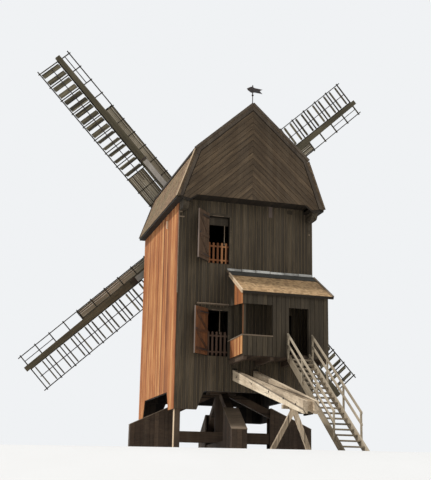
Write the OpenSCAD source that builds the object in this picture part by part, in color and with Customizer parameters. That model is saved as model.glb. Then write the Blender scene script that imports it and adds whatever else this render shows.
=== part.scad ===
// Post mill: a boarded timber body that turns on one post, carried by a trestle
// of two crossed beams, with four shuttered sails and a roofed porch at the back.
// Frame: origin on the ground under the post, X along the rear wall,
// Y from the rear wall (-Y) to the sails (+Y), Z up. All sizes in millimetres.

/* [Turning body] */
// Width of the body over its boards
body_w = 5700; // [5200:10:6200]
// Depth of the body from the rear wall to the front wall
body_d = 6550; // [6100:10:7200]
// Height of the lower edge of the walls above the ground
base_z = 2490; // [2400:5:2600]
// Height of the top of the side walls
wall_top = 9990; // [9700:10:10100]
// Thickness of a boarded frame wall
wall_t = 120; // [80:5:180]
// Side of a corner post
corner_post = 240; // [180:5:300]
// Height of the plates on the side walls
plate_h = 350; // [250:10:400]
// Width of the plates on the side walls
plate_w = 240; // [180:10:300]
// Radius of the rounded ends of the plates
plate_end_r = 200; // [100:10:240]
// Distance of the slit in the left wall from the middle of the wall
slit_y = 250; // [100:10:600]
// Height of the lower end of the slit
slit_z = 9150; // [8900:10:9250]
// Width of the slit
slit_w = 60; // [40:5:100]
// Height of the slit
slit_h = 330; // [200:10:380]

/* [Corner skirts] */
// How far the skirts hang below the walls
skirt_drop = 730; // [500:10:760]
// Width of a skirt at its lower edge
skirt_w = 900; // [700:10:1000]
// How much wider a skirt is where it meets the wall
skirt_flare = 290; // [100:10:400]
// Thickness of the skirt boards
skirt_t = 45; // [25:1:60]

/* [Roof] */
// How far the eaves stand out past the side walls
eave_x = 276; // [200:2:450]
// Thickness of the eave boards that the roof stands on
eave_board_t = 80; // [60:5:120]
// How far the break of the roof lies inside the side walls
break_x = 460; // [350:5:600]
// Height of the break above the ground
break_z = 12175; // [11900:5:12400]
// Height of the ridge above the ground
ridge_z = 14355; // [14000:5:14700]
// Thickness of a roof slope with its shingles
roof_t = 90; // [60:5:130]
// How far the upper slope runs past the break
roof_lap = 55; // [30:5:120]
// How far the roof overhangs the rear wall
rear_overhang = 790; // [500:10:900]
// How far the roof overhangs the front wall
front_overhang = 50; // [20:5:70]
// Height of the level lower edge of the rear gable
gable_z = 10184; // [10100:2:10300]
// Thickness of the gable boards
gable_t = 60; // [40:5:90]
// How far the gable's corners drop below its level edge
gable_drop = 314; // [200:2:330]
// How far the feet of the gable's dropped corners lie inside the side walls
gable_drop_x = 190; // [150:10:250]
// How far the level lower edge of the gable ends inside the side walls
gable_level_x = 600; // [450:10:750]
// Thickness of the barge boards and the soffit
trim_t = 40; // [25:5:60]
// Width of the barge boards
barge_w = 120; // [80:5:180]

/* [Rear doors] */
// Distance of the lower door opening from the left corner
low_door_in = 1282; // [1200:2:1350]
// Width of the lower door opening
low_door_w = 836; // [700:2:860]
// Height of the lower door opening
low_door_h = 1814; // [1600:2:1900]
// Height of the sill of the lower door opening above the floor
low_sill = 47; // [30:1:80]
// Distance of the upper door opening from the left corner
up_door_in = 1254; // [1200:2:1350]
// Width of the upper door opening
up_door_w = 864; // [700:2:880]
// Height of the sill of the upper door opening
up_door_z = 7600; // [7400:10:7800]
// Height of the upper door opening
up_door_h = 1957; // [1700:1:2000]
// Height of the sill of the upper door opening above the upper floor
up_sill = 30; // [0:5:60]
// Thickness of a door leaf
leaf_t = 40; // [30:1:60]
// Angle that the lower leaf stands open
low_leaf_open = 142; // [100:1:165]
// Angle that the upper leaf stands open
up_leaf_open = 133; // [100:1:165]
// Distance of a leaf's hinge axis from the edge of its opening
hinge_gap = 6; // [4:1:12]
// How much higher a leaf is than its opening
leaf_lap = 60; // [30:5:80]
// Height of the foot of the upper leaf above the sill of its opening
up_leaf_rise = 45; // [0:5:200]
// Height of the railing in the lower opening
low_rail_h = 940; // [600:10:1000]
// Height of the railing in the upper opening
up_rail_h = 840; // [600:10:1000]
// Number of pickets in a railing
pickets = 5; // [4:1:7]
// Width of a picket
picket_w = 80; // [40:5:90]
// Distance of the first picket's middle from the left side of an opening
picket_left = 50; // [45:5:120]
// Distance of the last picket's middle from the right side of an opening
picket_right = 110; // [45:5:120]
// Height of a rail in a railing
picket_rail_h = 60; // [40:5:80]
// Height of the top of the drip board over the lower opening
ledge_z = 5957; // [5900:1:6000]
// Height of the drip board
ledge_h = 70; // [40:5:100]
// How far the drip board stands out from the wall
ledge_out = 90; // [60:5:140]
// How far the drip board runs past the lower opening on its left
ledge_past = 472; // [300:2:600]
// Left edge of the hoist guard under the gable
guard_x = 945; // [500:5:1100]
// Width of the hoist guard
guard_w = 160; // [100:5:180]
// Height of the lower end of the hoist guard
guard_z = 9720; // [9300:10:9800]

/* [Floors and crown] */
// Top of the lower floor
floor_z = 3820; // [3800:5:3860]
// Thickness of the floor planks
plank_t = 60; // [40:5:80]
// Height of the floor beams beside the post
floor_beam_h = 450; // [350:10:480]
// Width of a floor beam
floor_beam_w = 240; // [180:10:280]
// Top of the post, under the crown tree
post_top = 6200; // [6000:10:6400]
// Height of the crown tree
crown_h = 600; // [450:10:700]
// Width of the crown tree
crown_w = 560; // [450:10:650]
// Section of the side girts on the crown tree
girt_s = 300; // [240:10:340]
// Width of a joist
joist_w = 180; // [140:5:220]
// Width of the pin on top of the post
pintle_d = 220; // [180:5:260]
// Height of the pin on top of the post
pintle_h = 200; // [150:5:260]
// Width of the beams that carry the windshaft
bearer_w = 360; // [300:10:400]
// Height of the beams that carry the windshaft
bearer_h = 380; // [300:10:420]
// Distance of the neck bearing from the inside of the front wall
neck_in = 400; // [300:10:600]
// Distance of the tail bearing behind the post's axis
tail_bearing_y = 1350; // [1100:10:1400]
// Room round the windshaft where it passes the front wall
neck_gap = 40; // [20:5:60]

/* [Trestle] */
// Length of a trestle arm from the post to its end
arm_len = 3800; // [3600:10:3850]
// Turn of the trestle against the body
cross_turn = 5.5; // [0:0.5:12]
// Height of the piers under the lower cross tree
pier_h = 240; // [150:5:300]
// Height of a cross tree
tree_h = 440; // [350:5:480]
// Width of a cross tree
tree_w = 500; // [420:5:560]
// Diameter of the post
post_d = 550; // [480:5:560]
// Width of a quarter bar
bar_w = 300; // [240:5:360]
// Depth of a quarter bar, across its length
bar_d = 300; // [240:5:340]
// Thickness of the boards that case the arms
casing_t = 40; // [25:1:50]
// Length of the cased part of an arm
casing_len = 1750; // [1200:10:2000]
// Height of the case at the end of an upper arm
case_upper_z = 1330; // [1300:5:1400]
// Height of the case at the end of a lower arm
case_lower_z = 1035; // [1000:5:1100]
// Height at which the top of the upper arms' cases would meet the post's axis
case_upper_head = 3120; // [3080:5:3180]
// Height at which the top of the lower arms' cases would meet the post's axis
case_lower_head = 3077; // [3040:1:3140]
// Height of the saddle's top above the lower edge of the walls
saddle_rise = 450; // [400:5:480]
// Height of the saddle round the post
saddle_h = 280; // [200:5:300]
// Width of the saddle
saddle_w = 1100; // [900:10:1200]
// Length of a pier along its arm
pier_len = 680; // [500:10:800]
// How far a pier stands in from the end and the sides of its cross tree
pier_in = 20; // [10:5:60]
// Height of the lower edge of the arms' cases
case_foot_z = 60; // [40:5:120]
// Side of the loose prop under the rear left corner
prop_s = 220; // [160:5:260]
// How far the loose prop stands in from the left wall
prop_in = 40; // [20:5:100]

/* [Porch] */
// Left side of the porch
porch_x0 = -665; // [-720:5:-620]
// Right side of the porch
porch_x1 = 2720; // [2600:5:2840]
// Depth of the porch from the rear wall
porch_d = 1895; // [1600:5:2100]
// Height of the porch roof at the wall
porch_roof_z = 7320; // [7200:5:7500]
// Height of the porch roof at its eave
porch_eave_z = 6130; // [6050:5:6250]
// How far the porch roof overhangs the porch at the front
porch_over = 180; // [100:5:260]
// Thickness of the porch boards
porch_t = 40; // [25:1:60]
// How far the porch roof runs past the porch's left side
porch_left_over = 105; // [40:5:140]
// How far the porch roof runs past the porch's right side
porch_right_over = 180; // [40:5:220]
// Side of a porch post
porch_post = 90; // [70:5:120]
// Height of the beam along the porch front
header_h = 120; // [90:5:160]
// Width of a joist under the porch
porch_joist_w = 140; // [100:5:160]
// Height of a joist under the porch
porch_joist_h = 200; // [160:5:240]
// Number of joists under the porch
porch_joists = 4; // [3:1:5]
// Height of the parapet above the porch floor
parapet_h = 640; // [500:10:900]
// Right end of the open bay in the porch front
bay_x1 = 500; // [300:10:700]
// Left side of the stair entry
entry_x = 1150; // [1000:10:1400]
// Width of the stair entry
entry_w = 800; // [650:10:900]
// Height of the stair entry in the porch front
entry_h = 1800; // [1700:10:1850]
// Height of the doorway into the mill
doorway_h = 1850; // [1750:10:1900]
// Height of the lower edge of the boards under the porch eave
fascia_z = 5680; // [5600:10:5750]

/* [Stair and tail] */
// Slope of the stair
stair_slope = 36; // [34:0.5:42]
// Rise of one step
rise = 200; // [170:5:220]
// Thickness of a stringer
stringer_t = 60; // [45:5:80]
// Depth of a stringer
stringer_h = 260; // [220:5:300]
// How far a stringer stands above the front edges of the treads
stringer_up = 60; // [30:5:90]
// Thickness of a tread
tread_t = 45; // [30:5:60]
// How far a tread overlaps the one above it
tread_lap = 40; // [20:5:60]
// Height of the stair rail above the stringer
hand_h = 850; // [700:10:950]
// Distance of the first post of a stair rail from the porch front
hand_head = 200; // [150:10:300]
// Distance of the last post of a stair rail from the foot of the stair
hand_foot = 700; // [500:10:900]
// Side of a post of the stair rail
hand_s = 60; // [45:5:80]
// Height of a rail of the stair
hand_rail_h = 80; // [60:5:100]
// Number of posts of a stair rail
hand_posts = 4; // [3:1:5]
// Length of the tail beams outside the rear wall
tail_len = 7100; // [6000:10:7300]
// Slope of the tail beams
tail_slope = 14; // [13:0.5:15]
// Height of a tail beam
tail_h = 400; // [300:5:420]
// Thickness of a tail beam
tail_t = 160; // [120:5:200]
// Height of the top of the tail beams at the rear wall
tail_top_z = 3360; // [3300:5:3380]
// Half spread of the tail beams' centre lines at the rear wall
tail_x0 = 430; // [400:5:500]
// Half spread of the tail beams' centre lines at their far end
tail_end_x = 200; // [160:5:260]
// Length of the block between the ends of the tail beams
tail_block = 200; // [120:10:300]
// Distance of the tail prop behind the rear wall
tail_prop_out = 5500; // [5000:10:5800]
// Distance of the tail prop's left foot from the middle
prop_left_x = 800; // [500:10:1000]
// Distance of the tail prop's right foot from the middle
prop_right_x = 570; // [500:10:1000]
// Side of a leg of the tail prop
tail_prop_s = 145; // [90:5:150]
// Height of the cross-head on the tail prop
prop_head_h = 110; // [80:5:160]

/* [Windshaft and sails] */
// Distance from the post's axis to the middle of the crossed stocks
hub_y = 4085; // [4050:5:4200]
// Height of the middle of the crossed stocks
hub_z = 11120; // [11100:1:11300]
// Tilt of the windshaft
shaft_tilt = 4; // [3:0.5:5]
// Diameter of the windshaft
shaft_d = 460; // [380:10:480]
// Length of the windshaft behind the stocks
shaft_len = 5700; // [5400:10:6200]
// Side of the square head that holds the stocks
poll_w = 640; // [560:10:700]
// Length of the square head
poll_len = 1000; // [900:10:1100]
// Length of a sail arm from the windshaft's axis
sail_r = 10720; // [10000:1:10800]
// Angle of the front stock, seen from behind
stock_a_turn = 133.8; // [130:0.1:138]
// Angle of the rear stock, seen from behind
stock_b_turn = 42.7; // [38:0.1:48]
// Distance between the middles of the two stocks along the shaft
stock_gap = 428; // [400:1:460]
// Width of a stock in the middle
stock_w = 360; // [300:5:400]
// Width of a stock at its tip
stock_tip_w = 230; // [180:5:260]
// Thickness of a stock in the middle
stock_t = 300; // [240:5:320]
// Thickness of a stock at its tip
stock_tip_t = 170; // [120:5:200]
// Length of the doubling plank from the shaft's axis
cheek_r = 4700; // [3500:10:5200]
// Thickness of the doubling plank
cheek_t = 60; // [40:5:80]
// How far the doubling plank stands in from the sides of the stock
cheek_in = 40; // [20:5:60]
// Width of the shuttered side of a sail
trail_w = 1280; // [1000:5:1300]
// Width of the narrow leading side of a sail
lead_w = 610; // [400:5:640]
// Distance from the tip of the stock to the outer bar
tip_bar = 200; // [150:5:320]
// Distance between two sail bars
bar_step = 817; // [760:1:830]
// Number of bays between the sail bars
bays = 10; // [9:1:10]
// Number of bays with shutters, from the tip
shutter_bays = 8; // [7:1:8]
// Pitch of the sail at its tip
pitch_tip = 2; // [0:0.5:4]
// Pitch of the sail at its heel
pitch_heel = 7; // [5:0.5:8]
// Depth of a sail bar
bar_h = 70; // [50:5:80]
// Thickness of a sail bar
bar_t = 45; // [35:5:55]
// How far a sail bar runs past the hem laths
bar_past = 45; // [20:5:60]
// How far the hem laths run in past the innermost bar
heel_past = 150; // [80:10:200]
// How far the hem laths run out past the outermost bar
tip_past = 150; // [100:10:230]
// Gap between the stock and the boards on the inner bays of the wide side
heel_gap = 80; // [40:5:120]
// Thickness of the shutter rail
rail_t = 35; // [25:5:45]
// Side of the thin middle lath on the leading side
thin_lath = 35; // [18:1:45]
// Number of outer bays with the thin middle lath
thin_bays = 2; // [1:1:3]
// Number of outer bays of the leading side without boards
bare_bays = 4; // [3:1:5]
// Number of boards beside each other on a side
side_boards = 5; // [4:1:6]
// Thickness of these boards
side_board_t = 24; // [16:2:32]
// Gap between two of these boards
side_board_gap = 6; // [2:1:12]
// Thickness of the hem laths and the rails
lath_t = 45; // [30:5:55]
// Width of a shutter
shutter_w = 250; // [200:5:290]
// Thickness of a shutter
shutter_t = 16; // [12:1:24]
// Diameter of the pin of a shutter
shutter_pin_d = 26; // [20:1:32]
// Gap between a shutter and the rails beside it
shutter_gap = 25; // [15:5:40]
// Number of outer bays whose shutters stand at an angle of their own
outer_bays = 5; // [3:1:6]

/* [Weathervane] */
// Distance of the pole behind the rear edge of the roof
vane_inset = 130; // [100:10:500]
// Height of the pole above the ridge
pole_h = 870; // [700:10:950]
// Diameter of the pole
pole_d = 36; // [24:2:50]
// Diameter of the ball on the pole
ball_d = 90; // [60:5:120]
// Length of the vane
vane_len = 720; // [600:10:800]
// Height of the vane
vane_h = 375; // [300:5:380]
// Thickness of the vane's plate
vane_t = 6; // [4:1:10]
// Diameter of the vane's sleeve
sleeve_d = 52; // [50:1:62]

/* [Fits] */
// Clearance between the turning body and the trestle
running_gap = 8; // [6:1:15]
// Clearance at the bearings of the post and the windshaft
bearing_gap = 0.4; // [0.2:0.1:0.8]
// Clearance between pieces that are fitted together
fit = 0.3; // [0.1:0.1:0.6]

/* [Hidden] */
$fn = 48;

// Faces of the walls
hx = body_w / 2;
hy = body_d / 2;
in_x = hx - wall_t;
in_y = hy - wall_t;

// Rear openings and floors
low_door_x = -hx + low_door_in;
low_door_z = floor_z + low_sill;
up_door_x = -hx + up_door_in;
upper_z = up_door_z - up_sill;
crown_z0 = post_top + bearing_gap;
girt_top = crown_z0 + crown_h + girt_s;
joist_step = (in_y - joist_w) / 2;

// Roof lines: slopes, and where lines set in by a depth from each slope meet
foot_z = wall_top + eave_board_t;
roof_hx = hx + eave_x;
roof_break_x = hx - break_x;
a_up = atan2(ridge_z - break_z, roof_break_x);
a_low = atan2(break_z - foot_z, roof_hx - roof_break_x);
function low_x(z, d) = roof_hx - (z - foot_z) / tan(a_low) - d / sin(a_low);
function up_z(x, d) = ridge_z - x * tan(a_up) - d / cos(a_up);
function meet_x(du, dl) =
    (roof_hx - (ridge_z - du / cos(a_up) - foot_z) / tan(a_low) - dl / sin(a_low))
    / (1 - tan(a_up) / tan(a_low));
function meet(du, dl) = [meet_x(du, dl), up_z(meet_x(du, dl), du)];
function mirror_x(p) = [-p[0], p[1]];
// Half roof outline, set in by d, from the ridge down to height z
function half_roof(d, z) = [[0, up_z(0, d)], meet(d, d), [low_x(z, d), z]];
// What stands under the slopes starts at this depth below their tops
roof_in = roof_t + fit;

roof_y0 = -hy - rear_overhang;
roof_y1 = hy + front_overhang;
gable_y0 = roof_y0 + trim_t;
gable_y1 = gable_y0 + gable_t;

// Trestle heights
tree_up_z0 = pier_h + tree_h;
tree_up_z1 = tree_up_z0 + tree_h;
saddle_top = base_z + saddle_rise;
saddle_z0 = saddle_top - saddle_h;
floor_beam_z0 = saddle_top + running_gap;
floor_beam_z1 = floor_beam_z0 + floor_beam_h;
case_w = tree_w + 2 * casing_t;

// Porch planes
porch_y = -hy - porch_d;
porch_eave_y = porch_y - porch_over;
a_porch = atan2(porch_roof_z - porch_eave_z, porch_d + porch_over);
function porch_top(y) = porch_roof_z + (y + hy) * tan(a_porch);
function porch_under(y) = porch_top(y) - roof_t / cos(a_porch);
function porch_seat(y) = porch_under(y) - fit;
porch_post_y = porch_y + porch_t;
porch_beam_z = floor_z - plank_t;
header_top = porch_seat(porch_post_y);

// Stair and tail
stair_run = rise / tan(stair_slope);
steps = floor(floor_z / rise);
function stair_z(y) = floor_z + (y - porch_y) * tan(stair_slope);
stair_foot_y = porch_y - (floor_z - running_gap) / tan(stair_slope);
stringer_v = stringer_h / cos(stair_slope);
tail_plan = atan2(tail_x0 - tail_end_x, tail_len);
tail_v = tail_h / cos(tail_slope);
function tail_z(y) = tail_top_z + (y + hy) * tan(tail_slope);

// Sails: pitch grows evenly in its tangent from the tip to the heel
bar_r0 = sail_r - tip_bar;
heel_r = bar_r0 - bays * bar_step;
function tan_pitch(r) =
    tan(pitch_tip) + (bar_r0 - r) / (bar_r0 - heel_r) * (tan(pitch_heel) - tan(pitch_tip));
function bar_r(i) = bar_r0 - i * bar_step;
sail_turn = [stock_a_turn, stock_b_turn, stock_a_turn + 180, stock_b_turn + 180];
sail_z = [-stock_gap / 2, stock_gap / 2, -stock_gap / 2, stock_gap / 2];
// Tilt of the shutters of each sail out of its plane, in the outer and in the inner bays
outer_tilt = [12, 42, 42, 86];
inner_tilt = [45, 42, 42, 86];
heel_end_r = heel_r - heel_past;

// Weathervane
vane_y = roof_y0 + vane_inset;
vane_z = ridge_z + pole_h * 0.56;

// Colours
dark_wood = [0.25, 0.21, 0.17];
orange_wood = [0.65, 0.39, 0.24];
shingle = [0.57, 0.46, 0.34];
pale_wood = [0.78, 0.70, 0.60];
sail_wood = [0.31, 0.29, 0.24];
iron = [0.22, 0.22, 0.23];
stone = [0.55, 0.53, 0.49];

// A box from its low corner to its high corner
module span(a, b) {
    translate(a) cube(b - a);
}

module both_sides() {
    children();
    mirror([1, 0, 0]) children();
}

// A profile in X and Z, run along Y from y0 to y1
module along_y(y0, y1) {
    translate([0, y1, 0]) rotate([90, 0, 0]) linear_extrude(y1 - y0) children();
}

// A profile in Y and Z, run along X from x0 to x1
module along_x(x0, x1) {
    translate([x0, 0, 0]) rotate([90, 0, 90]) linear_extrude(x1 - x0) children();
}

// A trestle arm lies along local +X: arms 0 and 2 are the upper cross tree
module on_arm(n) {
    rotate([0, 0, -cross_turn + 90 * n]) children();
}

function case_z(n) = n % 2 == 0 ? case_upper_z : case_lower_z;
function case_head(n) = n % 2 == 0 ? case_upper_head : case_lower_head;
function case_slope(n) = atan2(case_head(n) - case_z(n), arm_len + casing_t);
function tree_top(n) = n % 2 == 0 ? tree_up_z1 : tree_up_z0;
// Height of the top of the case at distance r from the post
function case_top(n, r) = case_z(n) + (arm_len + casing_t - r) * tan(case_slope(n));

module piers() {
    color(stone)
        for (n = [0:3])
            on_arm(n)
                span([arm_len - pier_in - pier_len, -tree_w / 2 + pier_in, 0],
                     [arm_len - pier_in, tree_w / 2 - pier_in, tree_top(n) - tree_h]);
}

module cross_tree(n) {
    color(dark_wood)
        on_arm(n)
            span([-arm_len, -tree_w / 2, tree_top(n) - tree_h], [arm_len, tree_w / 2, tree_top(n)]);
}

module cross_tree_lower() {
    cross_tree(1);
}

module cross_tree_upper() {
    cross_tree(0);
}

// The bars rise from the cross trees to the post, under the saddle
module quarter_bars() {
    color(dark_wood)
        difference() {
            for (n = [0:3]) {
                t = casing_t / cos(case_slope(n)) + fit;
                v = bar_d / cos(case_slope(n));
                foot_r = arm_len - casing_t;
                on_arm(n)
                    intersection() {
                        along_y(-bar_w / 2, bar_w / 2)
                            polygon([[0, case_top(n, 0) - t], [foot_r, case_top(n, foot_r) - t],
                                     [foot_r, case_top(n, foot_r) - t - v],
                                     [0, case_top(n, 0) - t - v]]);
                        span([0, -bar_w, tree_top(n)], [arm_len, bar_w, saddle_z0]);
                    }
            }
            cylinder(h = post_top, d = post_d + 2 * fit);
        }
}

// Boards nailed to both sides, the end and the sloping top of each arm
module arm_casings() {
    color(dark_wood)
        for (n = [0:3]) {
            r0 = arm_len - casing_len;
            r1 = arm_len + casing_t;
            t = casing_t / cos(case_slope(n));
            on_arm(n)
                difference() {
                    along_y(-case_w / 2, case_w / 2)
                        polygon([[r0, case_foot_z], [r1, case_foot_z], [r1, case_z(n)],
                                 [r0, case_top(n, r0)]]);
                    along_y(-tree_w / 2, tree_w / 2)
                        polygon([[r0 - 10, 0], [arm_len, 0], [arm_len, case_top(n, arm_len) - t],
                                 [r0 - 10, case_top(n, r0 - 10) - t]]);
                }
        }
}

module post() {
    color(dark_wood) {
        translate([0, 0, tree_up_z1]) cylinder(h = post_top - tree_up_z1, d = post_d);
        translate([0, 0, post_top - 1]) cylinder(h = pintle_h + 1, d = pintle_d);
    }
}

module saddle() {
    color(dark_wood)
        difference() {
            rotate([0, 0, -cross_turn])
                span([-saddle_w / 2, -saddle_w / 2, saddle_z0],
                     [saddle_w / 2, saddle_w / 2, saddle_top]);
            cylinder(h = saddle_top + 10, d = post_d + 2 * fit);
        }
}

// A loose post that stands on the ground under the rear left corner
module corner_prop() {
    top = base_z - skirt_drop - running_gap;
    color(dark_wood)
        span([-hx + prop_in, -hy, 0], [-hx + prop_in + prop_s, -hy + prop_s, top]);
}

module floor_beams() {
    x0 = post_d / 2 + running_gap;
    color(dark_wood)
        both_sides()
            span([x0, -in_y + fit, floor_beam_z0], [x0 + floor_beam_w, in_y - fit, floor_beam_z1]);
}

module lower_floor() {
    color(dark_wood)
        difference() {
            union() {
                span([-in_x, -in_y, floor_z - plank_t], [in_x, in_y, floor_z]);
                for (k = [-2:2])
                    translate([0, k * joist_step, 0])
                        span([-in_x, -joist_w / 2, floor_beam_z1],
                             [in_x, joist_w / 2, floor_z - plank_t]);
            }
            cylinder(h = floor_z + 10, d = post_d + 2 * running_gap);
        }
}

module upper_floor() {
    color(dark_wood) {
        span([-in_x, -in_y, upper_z - plank_t], [in_x, in_y, upper_z]);
        for (k = [-2:2])
            translate([0, k * joist_step, 0])
                span([-in_x, -joist_w / 2, girt_top], [in_x, joist_w / 2, upper_z - plank_t]);
    }
}

// The crown tree rests on the post and carries the side girts
module crown_frame() {
    color(dark_wood)
        difference() {
            union() {
                span([-in_x, -crown_w / 2, crown_z0], [in_x, crown_w / 2, crown_z0 + crown_h]);
                both_sides()
                    span([in_x - girt_s, -in_y, crown_z0 + crown_h], [in_x, in_y, girt_top]);
            }
            translate([0, 0, crown_z0 - 10])
                cylinder(h = pintle_h + 10 + bearing_gap, d = pintle_d + 2 * bearing_gap);
        }
}

// Posts in the corners, hidden in the skirts at their feet
module corner_posts() {
    z1 = wall_top - plate_h;
    color(dark_wood)
        both_sides()
            for (s = [-1, 1])
                difference() {
                    span([in_x - corner_post, s * in_y - (s > 0 ? corner_post : 0), base_z],
                         [in_x, s * in_y + (s > 0 ? 0 : corner_post), z1]);
                    for (z = [floor_z, upper_z])
                        span([0, -hy, z - plank_t], [hx, hy, z]);
                    post_notches();
                }
}

// Room in the corner posts for the joists and the girts
module post_notches() {
    both_sides() {
        span([in_x - girt_s, -hy, girt_top - girt_s], [in_x, hy, girt_top]);
    }
    for (k = [-2, 2])
        translate([0, k * joist_step, 0]) {
            span([-hx, -joist_w / 2, floor_beam_z1], [hx, joist_w / 2, floor_z]);
            span([-hx, -joist_w / 2, girt_top], [hx, joist_w / 2, upper_z]);
        }
}

module rear_wall() {
    color(dark_wood)
        difference() {
            along_y(-hy, -in_y)
                difference() {
                    polygon([[-hx, base_z], [hx, base_z], [hx, wall_top], [in_x - plate_w, wall_top],
                             [in_x - plate_w, gable_z], [-in_x + plate_w, gable_z],
                             [-in_x + plate_w, wall_top], [-hx, wall_top]]);
                    translate([low_door_x, low_door_z]) square([low_door_w, low_door_h]);
                    translate([up_door_x, up_door_z]) square([up_door_w, up_door_h]);
                    translate([entry_x, floor_z]) square([entry_w, doorway_h]);
                    for (s = [-1, 1])
                        translate([s * (in_x - plate_w / 2) - plate_w / 2, wall_top - plate_h])
                            square([plate_w, plate_h + 1]);
                }
            tail_pair(fit);
        }
}

module front_wall() {
    color(dark_wood)
        difference() {
            along_y(in_y, hy)
                polygon(concat([[hx, base_z], [hx, wall_top], [low_x(foot_z, roof_in), wall_top]],
                               [for (p = [2, 1, 0]) half_roof(roof_in, foot_z)[p]],
                               [for (p = [1, 2]) mirror_x(half_roof(roof_in, foot_z)[p])],
                               [[-low_x(foot_z, roof_in), wall_top], [-hx, wall_top],
                                [-hx, base_z]]));
            soffit_pair();
            on_shaft() cylinder(h = hub_y, d = shaft_d + 2 * neck_gap);
        }
}

module side_wall() {
    span([in_x, -in_y, base_z], [hx, in_y, wall_top]);
}

module slit() {
    span([in_x - 10, -slit_y, slit_z], [hx + 10, -slit_y + slit_w, slit_z + slit_h]);
}

module left_wall() {
    color(orange_wood)
        mirror([1, 0, 0])
            difference() {
                side_wall();
                slit();
            }
}

module right_wall() {
    color(dark_wood) side_wall();
}

// L-shaped boards under the four corners, with a slanted inner edge
module corner_skirts() {
    z1 = base_z;
    z0 = base_z - skirt_drop;
    color(dark_wood)
        both_sides()
            for (s = [0, 1])
                mirror([0, s, 0]) {
                    along_y(-hy, -hy + skirt_t)
                        polygon([[hx, z0], [hx, z1], [hx - skirt_w - skirt_flare, z1],
                                 [hx - skirt_w, z0]]);
                    along_x(hx - skirt_t, hx)
                        polygon([[-hy, z0], [-hy, z1], [-hy + skirt_w + skirt_flare, z1],
                                 [-hy + skirt_w, z0]]);
                }
}

// Plates on the side walls; their rounded ends at the back stand in line with the side walls
module wall_plates() {
    r = plate_end_r;
    color(dark_wood)
        both_sides() {
            span([in_x - plate_w, -hy, wall_top - plate_h], [in_x, in_y - fit, wall_top]);
            along_x(hx - plate_w, hx)
                difference() {
                    translate([gable_y1, wall_top - plate_h])
                        square([-hy - gable_y1, plate_h]);
                    difference() {
                        translate([gable_y1 - 1, wall_top - plate_h - 1]) square([r + 1, r + 1]);
                        translate([gable_y1 + r, wall_top - plate_h + r]) circle(r = r);
                    }
                }
        }
}

module soffit_pair() {
    both_sides()
        span([in_x - plate_w, gable_y1, wall_top], [low_x(foot_z, 0), roof_y1, foot_z]);
}

// Boards under the eaves, and the boards under the rear overhang
module soffits() {
    color(dark_wood) {
        soffit_pair();
        span([-in_x + plate_w, gable_y1, gable_z], [in_x - plate_w, -in_y, gable_z + trim_t]);
    }
}

// The gable stands out behind the wall, and its lower corners drop
module rear_gable() {
    inner = half_roof(roof_in, foot_z);
    half = [inner[0], inner[1], inner[2], [hx - gable_drop_x, gable_z - gable_drop],
            [hx - gable_level_x, gable_z]];
    color(dark_wood)
        along_y(gable_y0, gable_y1)
            polygon(concat(half, [for (k = [len(half) - 1:-1:1]) mirror_x(half[k])]));
}

module roof_lower() {
    color(shingle)
        both_sides()
            along_y(roof_y0, roof_y1)
                polygon([[low_x(foot_z, 0), foot_z], meet(roof_in, 0), meet(roof_in, roof_t),
                         [low_x(foot_z, roof_t), foot_z]]);
}

module roof_upper() {
    tip = [roof_break_x + roof_lap, up_z(roof_break_x + roof_lap, 0)];
    color(shingle)
        both_sides()
            along_y(roof_y0, roof_y1)
                polygon([[0, ridge_z], tip, tip - roof_t * [sin(a_up), cos(a_up)],
                         [0, up_z(0, roof_t)]]);
}

module barge_boards() {
    outer = half_roof(roof_in, foot_z);
    inner = half_roof(roof_in + barge_w, foot_z);
    color(dark_wood)
        along_y(roof_y0, gable_y0)
            polygon(concat(outer, [inner[2], inner[1], inner[0], mirror_x(inner[1]),
                                   mirror_x(inner[2])],
                           [mirror_x(outer[2]), mirror_x(outer[1])]));
}

// Local Z runs back along the windshaft, local X and Y lie in the plane of the sails
module on_shaft() {
    translate([0, hub_y, hub_z]) rotate([90 + shaft_tilt, 0, 0]) children();
}

function shaft_z(y) = hub_z - (hub_y - y) * tan(shaft_tilt);
// The weather beam under the neck of the shaft and the tail beam under its end
module shaft_bearers() {
    color(dark_wood)
        difference() {
            for (y = [in_y - neck_in, -tail_bearing_y]) {
                x1 = low_x(foot_z + bearer_h, roof_in);
                x2 = shaft_d;
                span([-x1, y - bearer_w / 2, foot_z], [x1, y + bearer_w / 2, foot_z + bearer_h]);
                span([-x2, y - bearer_w / 2, foot_z], [x2, y + bearer_w / 2, shaft_z(y)]);
            }
            on_shaft() cylinder(h = 2 * shaft_len, d = shaft_d + 2 * bearing_gap);
        }
}

// A boarded leaf that stands open on the left edge of its opening
module leaf(x, w, z, h, open) {
    pintle_gap = 2;
    knuckle_h = 80;
    translate([x - hinge_gap, -hy - leaf_t / 2 - pintle_gap, z]) {
        rotate([0, 0, -open]) span([0, -leaf_t / 2, 0], [w - 2 * hinge_gap, leaf_t / 2, h]);
        // pintles that carry the leaf
        for (k = [0.15, 0.85])
            translate([0, 0, k * h - knuckle_h / 2])
                cylinder(h = knuckle_h, d = leaf_t + 2 * (pintle_gap - fit), $fn = 24);
    }
}

module lower_door() {
    color(dark_wood) leaf(low_door_x, low_door_w, low_door_z, low_door_h + leaf_lap, low_leaf_open);
}

module upper_door() {
    z = up_door_z + up_leaf_rise;
    color(dark_wood) leaf(up_door_x, up_door_w, z, up_door_h + leaf_lap, up_leaf_open);
}

// Two rails and a row of pickets, fitted between the sides of an opening
module railing(x, w, z, h) {
    y = -hy + 30;
    r = picket_rail_h / 2;
    for (k = [0.18, 0.86])
        span([x, y, z + k * h - r], [x + w, y + 35, z + k * h + r]);
    step = (w - picket_left - picket_right) / (pickets - 1);
    for (i = [0:pickets - 1])
        translate([x + picket_left + i * step, 0, 0])
            span([-picket_w / 2, y + 5, z + 20], [picket_w / 2, y + 30, z + h]);
}

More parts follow.
